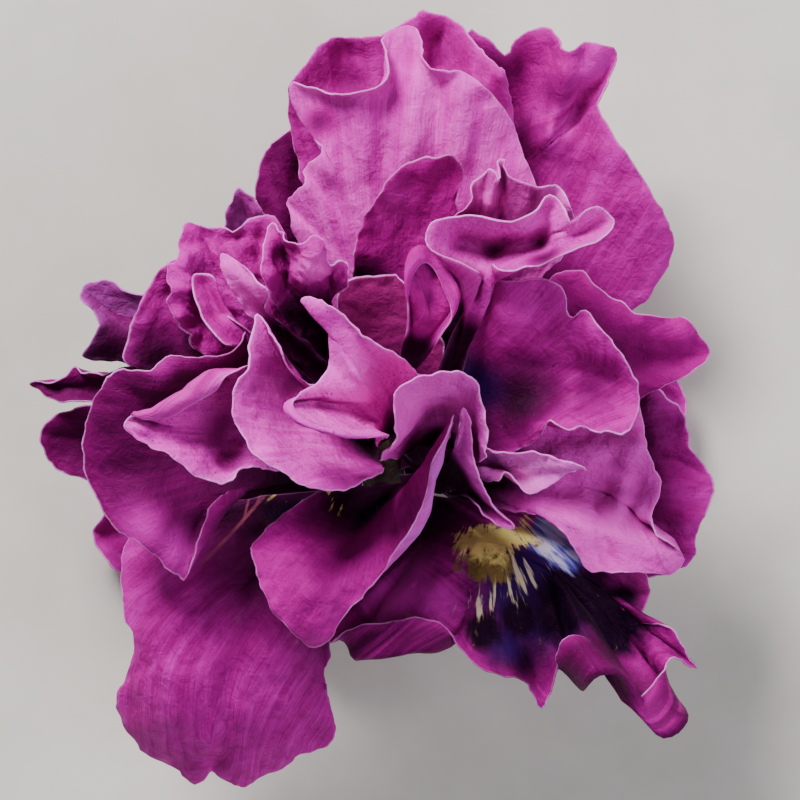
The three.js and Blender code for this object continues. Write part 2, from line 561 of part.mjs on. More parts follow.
    rim: [
      [4.3, 1.5, 43], [6.8, 8, 48], [9.3, 13, 51], [11.4, 16.5, 56], [11.2, 18, 58.9],
      [9, 19.3, 60.1], [6, 20.4, 60.4], [3.8, 21.8, 60.4], [3.8, 24, 60.5], [5, 25.4, 61],
      [8, 25.9, 62, 40], [10.5, 26, 63, 70], [13, 25.4, 63.5, 80], [16, 25.3, 63, 80],
      [19, 26.6, 62, 60], [20.8, 29, 60, 20], [22.5, 28.4, 60], [23.5, 26.5, 61],
      [24.5, 24.3, 61], [25.5, 26, 61], [27.5, 27.4, 60], [29, 26.8, 60], [30.3, 25.6, 59],
      [30.3, 24.8, 59], [29.8, 24, 60], [28, 22.5, 61], [25, 21.3, 62], [22, 20, 63],
      [20, 19, 63.5], [18, 18.9, 63], [16, 18.2, 63], [14, 18.5, 63], [13, 19.2, 61.5],
      [13.2, 17.8, 59.5], [13.1, 16, 57], [12, 12.5, 51.8], [10, 8, 48], [7.4, 0.7, 43.3],
    ],
    folds: [
      [8.8, 22.6, 13.5, 21.4, 1.9, -4.2], [13.5, 21.4, 19.5, 22.2, 1.9, -4.2],
      [20.3, 23, 21.5, 27, 1.5, -2.5], [25, 23.4, 28.3, 25.3, 1.7, -2.5],
    ],
  },
  {
    name: "right_crest_back", rows: 16, columns: 3, tip: 10, claw: 0.7, upper: true,
    spine: [[5, 4, 36], [10, 14, 43], [13, 24, 49]],
    rim: [
      [3.5, 4.5, 36], [6, 14, 42], [6.5, 22, 47], [8, 26.5, 52], [10, 28.5, 54], [11, 31, 54],
      [12.2, 32.6, 54], [13.3, 32.6, 55], [13.8, 31, 57], [14.2, 33.5, 55], [15, 34, 54],
      [16, 32, 55], [18, 30.7, 56], [20, 30.2, 56], [21.5, 30.1, 55], [23, 29.2, 54],
      [24.8, 27, 53], [24, 22, 50], [17, 14, 45], [7, 4, 36],
    ],
  },
  {
    name: "right_curl", rows: 14, columns: 4, tip: 7, claw: 0.7, curl: 3.4, back: 1.6, upper: true,
    spine: [[-0.2, 2.6, 44.5], [2.4, 8, 50], [4.2, 11, 53], [4.1, 13.6, 54]],
    rim: [
      [-0.6, 2.7, 44.5], [0.3, 7.5, 49.5], [1, 10.2, 53, 60], [1.1, 12.4, 56, 120],
      [1.1, 14.5, 57.5, 145], [1.5, 16.8, 58, 150], [2.5, 18.8, 58, 150], [3.6, 19.5, 57.5, 150],
      [4.7, 18.7, 56.5, 150], [5.6, 17.1, 56.2, 150], [6.5, 15.1, 56.5, 150],
      [7.2, 13.2, 56.5, 140], [7.2, 11.4, 56, 110], [6.2, 9.8, 54.6, 60], [4.1, 6.5, 50],
      [1, 2.6, 44.5],
    ],
  },
  {
    name: "right_broad", rows: 20, columns: 3, tip: 17, claw: 0.9,
    spine: [[6, -5, 36], [14, -1, 45], [22, 5, 49]],
    rim: [
      [6, -3.5, 35], [9.8, 4.5, 40], [9.9, 11, 43.8], [10.3, 15, 46.6], [11.5, 17, 50.8],
      [15, 16.8, 55], [20, 17.3, 56], [22.3, 16.5, 56], [23.5, 14.8, 55], [23.5, 12.5, 53],
      [24.2, 11.7, 53], [25, 12, 54], [26, 12.9, 55], [27, 12.3, 55], [28, 10.8, 55],
      [30, 8.5, 55], [32, 6, 55], [33.5, 3, 54], [34.1, 0, 53], [33.6, -2.5, 53],
      [32.5, -4.2, 54], [31, -4.8, 55], [29.5, -4.4, 56], [28, -4.6, 57], [26.5, -3.6, 57],
      [25.5, -3.7, 58], [24, -4.1, 58], [22.5, -3.3, 58], [21.3, -2.9, 57], [20.5, -4, 55],
      [19, -6, 51], [14, -8, 45], [7, -8, 36],
    ],
    folds: [
      [15, 13, 27, 9, 4, 2.2], [24, 0, 30, 0, 4, -1.5], [16, 6, 30, 3.5, 1.5, -1],
    ],
  },
  {
    name: "far_right", rows: 14, columns: 3, tip: 10,
    spine: [[8, -4, 30], [20, 2, 33], [32, 6, 34]],
    rim: [
      [6, 0, 30], [14, 10, 34], [21, 17, 37], [25.5, 18.7, 38], [28, 16.5, 38], [31, 14.5, 37],
      [35, 12.2, 37], [39, 12, 36], [40.5, 11.8, 36], [43, 9.5, 35], [44.5, 6.7, 34],
      [43.5, 5, 35], [41, 3.5, 35], [38, 1.8, 34], [36, 1, 33], [30, -3, 31], [20, -7, 29],
      [8, -8, 28],
    ],
    folds: [
      [28, 13, 40, 9, 3, 2], [30, 5, 40, 6, 2.5, -1.5],
    ],
  },
  {
    name: "back_right", rows: 14, columns: 3, tip: 10,
    spine: [[8, -11, 23], [22, -11, 23], [33, -11, 23]],
    rim: [
      [7, -8, 23], [18, -2, 24], [28, 4, 25], [35.5, 4.7, 26], [36.5, 2.5, 28], [38.5, 0.2, 28],
      [40, -0.7, 27], [41.3, -2.5, 27], [41.8, -6, 27], [43.5, -9, 26], [45.2, -12, 25],
      [45, -14.5, 25], [43.5, -17.5, 26], [42.7, -20.5, 26], [42.5, -22.5, 27], [39, -25, 26],
      [30, -26, 23], [18, -22, 21], [7, -14, 21],
    ],
    folds: [
      [36, -2, 41, -18, 2, 1.8], [38, -8, 44, -10, 1.4, -1.4], [37, -16, 43, -17, 1.4, 1.4],
    ],
  },
  {
    name: "right_crumpled", rows: 16, columns: 3, tip: 12,
    spine: [[8, -10, 31], [18, -11, 38], [28, -13, 40]],
    rim: [
      [7, -7, 33], [16, -5, 40], [26, 0, 43], [33, 1, 42], [34.8, -3, 42], [35, -6, 43],
      [36.5, -9.5, 43], [37.2, -12, 42], [36.5, -15, 43], [36, -18, 44], [38.5, -20.5, 42],
      [41, -22.5, 40], [38.5, -24.9, 42], [35, -24.7, 44], [30, -24.6, 45], [27, -24.3, 45],
      [25.5, -22, 44], [24, -19.5, 43], [21, -17, 41], [14, -15.5, 37], [7, -13, 31],
    ],
    folds: [
      [22, -8, 34, -6, 1.6, 1.6], [22, -13, 34, -12, 1.8, -1], [24, -17, 38, -22, 2, 2],
      [28, -15, 30, -23, 1.3, -1.3], [33, -8, 31, -16, 1.3, 1.2],
    ],
  },
  {
    name: "fall_centre", rows: 22, columns: 4, tip: 9,
    spine: [[-4, -15, 38], [-6, -19, 48], [-9, -25, 53], [-12, -30, 51]],
    rim: [
      [-8.5, -12.2, 35], [-15, -15, 43], [-21, -20.7, 49], [-21.3, -21.5, 50],
      [-20.3, -24.5, 50], [-19.3, -27.5, 50], [-18, -30.2, 50], [-16, -32, 50], [-14.5, -34, 49],
      [-13, -35.2, 48], [-11.5, -35.2, 48], [-10, -34, 49], [-8, -31, 51, 40],
      [-5.5, -28, 53, 60], [-2.5, -24.5, 55, 80], [0, -20.5, 57, 95], [2, -17.4, 58, 100],
      [3.5, -14, 59, 100], [3.9, -11, 60, 90], [4.4, -8.7, 61, 70], [5.8, -6.6, 62, 50],
      [7, -4, 63, 20], [7.6, -1.9, 63.5], [7.2, -4.5, 60.5], [5, -8.6, 52], [1.6, -11.5, 40],
    ],
    folds: [
      [-14, -23, -12, -32, 3, 1.8], [-6, -16, -9, -24, 3, -2],
    ],
  },
  {
    name: "fall_left", rows: 22, columns: 3, tip: 20,
    spine: [[-8, -18, 27], [-17, -27, 34], [-24, -36, 36], [-26, -43, 34]],
    rim: [
      [-8, -13, 26], [-20, -14, 31], [-30, -16, 32], [-37, -19, 31], [-39.3, -20.5, 30],
      [-40, -23, 30], [-40.3, -26, 30], [-39.7, -29, 31], [-39.5, -32, 31], [-38.7, -33, 32],
      [-38.6, -36, 31], [-39.5, -40, 28], [-41, -42.5, 26], [-40.8, -45.5, 24], [-39.5, -48, 23],
      [-37, -50.8, 22], [-35, -52.3, 22], [-33, -53, 22], [-31.5, -54.5, 22], [-30, -55.5, 21],
      [-28.5, -54.8, 22], [-27.5, -53.5, 23], [-25.5, -54.8, 22], [-23, -56, 20],
      [-21.5, -55.8, 20], [-20, -54.5, 21], [-17.5, -53.8, 21], [-15.5, -52, 22],
      [-14.5, -51, 23], [-12, -50.5, 23], [-10.5, -49.8, 24], [-9.4, -48, 26], [-9.8, -45, 28],
      [-10.8, -42, 30], [-10.9, -39.5, 31], [-10.2, -37, 32], [-10, -33, 31], [-7, -25, 28],
      [-5, -18, 24],
    ],
    folds: [
      [-21, -20, -26.5, -52, 1.6, -1.4], [-33, -24, -34, -46, 4.5, 2.5],
      [-15, -27, -17, -48, 4, 2.2],
    ],
  },
  {
    name: "fall_right", rows: 30, columns: 5, tip: 22, decay: 2.8, curl: 2.6, back: 6.4,
    spine: [[4, -18, 31], [10, -20, 36], [15, -21.5, 39], [20, -23.5, 40]],
    rim: [
      [0, -16, 29], [-4, -25, 35], [-8, -31, 38], [-10.2, -34.6, 41, 0], [-9, -34.2, 43, 60],
      [-7.5, -33, 44.5, 95], [-5, -32.1, 45.5, 110], [-1.5, -31.8, 46, 112],
      [2, -31.2, 46.5, 112], [5, -31.6, 46.5, 105], [7.2, -33, 46, 80], [8.4, -35, 45, 40],
      [10, -37.2, 44.5, 20], [12.5, -38.8, 44, 30], [15, -39.2, 44.5, 40], [17.3, -39.8, 44, 30],
      [18.6, -41.6, 43, 10], [20, -44.2, 42], [21.5, -42, 43.5, 10], [22, -39, 46, 50],
      [22.4, -36.6, 48, 120], [23.2, -34.4, 49.5, 155], [24.6, -33.4, 50, 170],
      [26.2, -33.6, 50, 168], [27.8, -35.4, 49, 158], [29, -38.2, 47.5, 155],
      [30.3, -41, 46.5, 158], [32, -43, 46.5, 164], [34, -42.8, 46.5, 165], [36, -41, 46, 155],
      [37.4, -38.9, 45.5, 110], [38.6, -37, 44.5, 50], [40, -37.2, 42.5, 20], [42.4, -38.4, 41],
      [41, -36, 42.5, 20], [39.8, -33.6, 43.5, 40], [38, -32.2, 43.5, 30], [36, -31.9, 43, 10],
      [34.3, -32, 42], [34.6, -30.5, 41.5], [35.5, -28.5, 41], [35.7, -26.5, 39], [33, -22, 36],
      [24, -16, 35], [14, -15, 33], [6, -14, 29],
    ],
    folds: [
      [14, -32, 16, -40, 2.2, 1.8], [31, -32, 34, -38, 2.6, -2],
    ],
  },
  {
    name: "under_left", rows: 13, columns: 3, tip: 7, floor: 0.35,
    spine: [[-12, -12, 13], [-23, -15, 4.5], [-32, -16.5, -2.5]],
    rim: [
      [-11, -9, 15], [-20, -3, 11], [-28, -1.5, 8], [-33, -4, 8], [-37, -5, 5], [-41, -8, 7],
      [-43.5, -12, 5], [-43, -16, 7], [-45, -20, 5], [-42, -24.5, 7], [-38, -26, 5],
      [-34, -28, 7], [-29, -25, 6], [-24, -21, 9], [-12, -14.5, 13],
    ],
  },
  {
    name: "under_right", rows: 13, columns: 3, tip: 7, floor: 0.35,
    spine: [[8, -9, 13], [20, -5, 4.5], [29, -3, -2.5]],
    rim: [
      [7, -5, 15], [16, 4, 12], [23, 9, 9], [28, 9.5, 7], [32, 11, 9], [37, 8, 6], [39.5, 4, 8],
      [42, 0, 6], [41, -5, 8], [39.5, -10, 6], [36, -13, 8], [31, -15.5, 6], [26, -15.5, 8],
      [18, -14, 9], [7, -13, 13],
    ],
  },
  {
    name: "under_top", rows: 13, columns: 3, tip: 8, floor: 0.35,
    spine: [[-1, 2, 12], [-2, 15, 4], [-2, 26, -2.5]],
    rim: [
      [-5, 2, 13], [-12, 11, 10], [-16, 19, 8], [-18, 26, 9], [-15.5, 31, 6], [-14, 36, 8],
      [-9, 38.5, 6], [-5, 41.5, 8], [-1, 41, 6], [4, 41.5, 8], [8, 38, 6], [11.5, 34, 8],
      [13.5, 27, 6], [13, 20, 8], [9, 10, 10], [2.5, 1, 13],
    ],
  },
];

// The parts of the flower under the petals, round the line from the crown to the cut end.
const STEM_END = [-21, -38, STEM_RADIUS * STEM_LEAN];
const DOWN = unit(sub(STEM_END, CROWN));
const REACH = size(sub(STEM_END, CROWN));
const ACROSS = unit(cross(DOWN, [0, 0, 1]));
const BACK = cross(ACROSS, DOWN);

function around(distance, radius, angle) {
  const side = add(mul(ACROSS, Math.cos(angle)), mul(BACK, Math.sin(angle)));
  return add(add(CROWN, mul(DOWN, distance)), mul(side, radius));
}

// A closed solid turned about that line; the profile is [distance, radius] pairs, and lobes
// swells it into three rounded ribs.
function turned(profile, sides, lobes = 0) {
  const vertices = [];
  for (const [distance, radius] of profile) {
    for (let k = 0; k < sides; k++) {
      const angle = (2 * Math.PI * k) / sides;
      vertices.push(around(distance, radius * (1 + lobes * Math.cos(3 * angle)), angle));
    }
  }
  const faces = [];
  for (let i = 0; i < profile.length - 1; i++) {
    for (let k = 0; k < sides; k++) {
      const a = i * sides + k;
      const b = i * sides + ((k + 1) % sides);
      faces.push([a, b + sides, b], [a, a + sides, b + sides]);
    }
  }
  const first = vertices.length;
  vertices.push(around(profile[0][0], 0, 0));
  vertices.push(around(profile[profile.length - 1][0], 0, 0));
  const end = (profile.length - 1) * sides;
  for (let k = 0; k < sides; k++) {
    const next = (k + 1) % sides;
    faces.push([first, k, next], [first + 1, end + next, end + k]);
  }
  return { vertices, faces };
}

// A papery bract wrapped part of the way round the stem, narrowing to its point.
function bractSolid({ from, to, facing, spread, radius, rows, columns }) {
  const points = [];
  for (let i = 0; i <= rows; i++) {
    const t = i / rows;
    const half = spread * Math.sqrt(1 - t ** 2.2) + 0.12;
    for (let j = -columns; j <= columns; j++) {
      const lean = radius + BRACT_SWELL * Math.sin(Math.PI * Math.min(1, t * 1.15));
      const curl = 1 + 0.08 * (j / columns) ** 2;
      points.push(around(from + (to - from) * t, lean * curl, facing + (half * j) / columns));
    }
  }
  const wide = 2 * columns + 1;
  const quads = [];
  for (let i = 0; i < rows; i++) {
    for (let j = 0; j < wide - 1; j++) {
      const a = i * wide + j;
      quads.push([a, a + 1, a + wide + 1, a + wide]);
    }
  }
  return closedSheet(points, quads, BRACT);
}

// The receptacle: a rounded cone from the crown up to the inner petals' claws.
function receptacleSolid() {
  const axis = unit(sub(UPPER, CROWN));
  const length = size(sub(UPPER, CROWN));
  const side = unit(cross(axis, [0, 0, 1]));
  const other = cross(axis, side);
  const rings = [];
  for (let i = 1; i < 12; i++) {
    const turn = (Math.PI * i) / 12;
    const t = (1 - Math.cos(turn)) / 2;
    const low = -RECEPTACLE_RADIUS;
    const high = length + RECEPTACLE_TOP;
    const width = (RECEPTACLE_RADIUS + (RECEPTACLE_TOP - RECEPTACLE_RADIUS) * t) * Math.sin(turn);
    rings.push([low + (high - low) * t, width]);
  }
  const vertices = [];
  const sides = 20;
  for (const [along_, width] of rings) {
    for (let k = 0; k < sides; k++) {
      const angle = (2 * Math.PI * k) / sides;
      const out = add(mul(side, Math.cos(angle) * width), mul(other, Math.sin(angle) * width));
      vertices.push(add(add(CROWN, mul(axis, along_)), out));
    }
  }
  const faces = [];
  for (let i = 0; i < rings.length - 1; i++) {
    for (let k = 0; k < sides; k++) {
      const a = i * sides + k;
      const b = i * sides + ((k + 1) % sides);
      faces.push([a, b, b + sides], [a, b + sides, a + sides]);
    }
  }
  const first = vertices.length;
  vertices.push(add(CROWN, mul(axis, -RECEPTACLE_RADIUS)));
  vertices.push(add(CROWN, mul(axis, length + RECEPTACLE_TOP)));
  const end = (rings.length - 1) * sides;
  for (let k = 0; k < sides; k++) {
    const next = (k + 1) % sides;
    faces.push([first, next, k], [first + 1, end + k, end + next]);
  }
  return { vertices, faces };
}

const group = new THREE.Group();

function addNode(name, { vertices, faces }, colour, roughness) {
  const geometry = new THREE.BufferGeometry();
  const flat = vertices.flatMap(([x, y, z]) => [x - CENTRE[0], y - CENTRE[1], z]);
  geometry.setAttribute("position", new THREE.Float32BufferAttribute(flat, 3));
  geometry.setIndex(faces.flat());
  geometry.computeVertexNormals();
  const material = new THREE.MeshStandardMaterial({ color: colour, roughness, metalness: 0 });
  const mesh = new THREE.Mesh(geometry, material);
  mesh.name = name;
  group.add(mesh);
}

for (const petal of PETALS) {
  addNode(petal.name, petalSolid(petal), petal.colour ?? MAGENTA, 0.6);
}
addNode("receptacle", receptacleSolid(), PALE_GREEN, 0.6);
addNode("ovary", turned(OVARY_PROFILE, 24, OVARY_LOBES), LEAF_GREEN, 0.55);
addNode("stem", turned([[STEM_FROM, STEM_RADIUS], [REACH, STEM_RADIUS]], 20), LEAF_GREEN, 0.55);
for (const bract of BRACTS) {
  addNode(bract.name, bractSolid(bract), PAPER_BROWN, 0.8);
}

export default group;
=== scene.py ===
import math

import bpy
import numpy as np
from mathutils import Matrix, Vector, noise
from mathutils.bvhtree import BVHTree
from mathutils.kdtree import KDTree


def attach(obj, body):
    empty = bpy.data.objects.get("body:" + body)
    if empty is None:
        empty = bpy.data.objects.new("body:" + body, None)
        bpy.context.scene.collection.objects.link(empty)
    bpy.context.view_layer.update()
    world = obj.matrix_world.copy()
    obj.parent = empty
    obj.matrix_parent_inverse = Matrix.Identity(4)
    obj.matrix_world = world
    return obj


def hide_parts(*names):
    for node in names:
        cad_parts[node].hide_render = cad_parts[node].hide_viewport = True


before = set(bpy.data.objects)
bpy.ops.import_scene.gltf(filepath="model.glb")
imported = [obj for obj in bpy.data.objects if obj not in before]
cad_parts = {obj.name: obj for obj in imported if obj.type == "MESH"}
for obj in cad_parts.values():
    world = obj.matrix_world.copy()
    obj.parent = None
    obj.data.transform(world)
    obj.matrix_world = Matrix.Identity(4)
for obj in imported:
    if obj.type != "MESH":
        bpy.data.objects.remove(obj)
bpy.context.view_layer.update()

# A double Siberian iris, picked and laid down with its face up. Sizes are millimetres in the
# bloom's own drawing frame; MM and CENTRE take them to the row frame in metres.
MM = 0.001
CENTRE = np.array([-4.12, -0.08, 0.0])

# The receptacle, and the claws by which the petals grow from it.
CROWN = np.array([-2.5, -11.0, 22.0])  # middle of the receptacle
UPPER = np.array([-2.0, -6.0, 29.0])  # middle of the receptacle's top, for the inner petals
RECEPTACLE_RADIUS = 4.2  # round CROWN
RECEPTACLE_TOP = 1.4  # and round UPPER
CLAW_RADIUS = 6.0  # from CROWN to the foot of a petal's midrib
UPPER_RADIUS = 5.5  # and from UPPER
CLAW_START = 0.74  # the share of that distance at which its claw begins
UPPER_START = 0.64
CLAW_HALF = 1.3  # half the width of a claw

# What the petals have in common.
ROWS = 96  # from claw to tip
COLUMNS = 18  # from midrib to rim
BUNCHING = 0.8  # below 1, the columns are closer together towards the rim
CURVE_STEPS = 16  # from one drawn point to the next
RIM_SAMPLES = 480
SMOOTHING = 0.055  # share of the rim over which its waves are averaged out
WAVE_DECAY = 2.4  # the higher, the closer to the rim its waves stay
ROLL_LENGTH = 5.0  # how much of the rim bends where it is rolled
ROLL_SHARE = 0.7  # and at the most, as a share of the way from midrib to rim
BLADE = 0.5  # thickness of a petal in its middle
RIM_BLADE = 0.26  # and at its rim
BLADE_REACH = 2.5  # how far from the rim it gets its full thickness
LIP = 0.9  # how far the lip stands out from the rim, as a share of half the thickness
BARE_CLAW = (4, 14)  # how far along the midrib the small folds begin, and have their full depth
RIPPLE = (4.0, 0.35)  # size and depth of the skin's small folds
FRAY_SIZE = 2.1  # the rim's small unevenness: its size,
FRAY = np.array([0.35, 0.35, 0.6])  # how far it goes to each side and up,
FRAY_REACH = 1.3  # and how far in from the rim it dies down
FRILL_REACH = 1.6  # and how far in a frill dies down
FIRST_SEED, SEED_STEP = 3.1, 7.3  # every petal's folds are its own

# How closed in a place between the petals is, found with short rays; the petals are darkened there as
# painted shade.
NOOK_REACH = 14.0
NOOK_RAYS = 14
NOOK_LOWEST = 0.15  # sine of the lowest ray's angle with the skin
NOOK_LIFT = 0.4  # how far over the skin a ray starts
NOOK_STEP = 3  # rays start from one vertex in so many,
NOOK_NEAREST = 5  # and every vertex takes the mean of so many of those near it
NOOK_SIDE = 3.0  # as seen from this far over the skin, which keeps a petal's two sides apart
NOOK_SOFTNESS = 0.2  # the higher, the less the nearest one weighs more

# The stem, the ovary and the bracts, round the line from the crown to the cut end.
STEM_RADIUS = 2.3
STEM_LEAN = 0.853  # cosine of its slope
STEM_END = np.array([-21.0, -38.0, STEM_RADIUS * STEM_LEAN])  # the cut end rests on the table
STEM_FROM = 20.4  # how far down the line it begins
STEM_SIDES = 60
OVARY_PROFILE = [[5.8, 2.4], [7.5, 2.3], [9, 2.7], [12, 3.5], [15.5, 3.7], [18.5, 3.1], [20, 2.5]]
OVARY_LOBES = 0.07  # depth of its three lobes, as a share of its radius
OVARY_SIDES = 72
RIBS = 0.012  # height of the twelve fine ribs on ovary and stem, as a share of the radius
TUBE_RINGS = 40
END_BEVEL = np.array([[0.15], [0.12]])  # how much narrower the first and the last ring are
# A bract goes down the line from start to end. It is spread, in radians, to either side of the way
# that it faces, and its radius is how far it is from the line.
BRACT = 0.5  # thickness
BRACT_SWELL = 0.8  # how much farther out its middle is
BRACT_FLARE = 0.08  # and its sides, as a share of the radius
BRACT_RIB, BRACT_RIB_TURN = 0.06, 16  # height of its ribs, and their wave over half its width
BRACT_POINT = 0.12  # half the width of its point, in radians
BRACTS = [
    dict(name="spathe_outer", start=26, end=8, facing=0.5, spread=1.15, radius=4.6),
    dict(name="spathe_inner", start=25, end=10, facing=3.6, spread=1.1, radius=4.6),
]

# The table, the light and the picture.
FRAME_MM = 114.3  # how much of the bloom's middle plane it covers
PLANE_MM = 45.0  # how high that plane is
DISTANCE_MM = 1500.0
SENSOR_MM = 36.0
TABLE_HALF = 1.5  # half its width, in metres
LIT_PLACE = (0, 0, 0.03)  # what the lamps face, in metres
AMBIENT = (0.9, 0.93, 1.0, 1.0)
AMBIENT_STRENGTH = 0.16

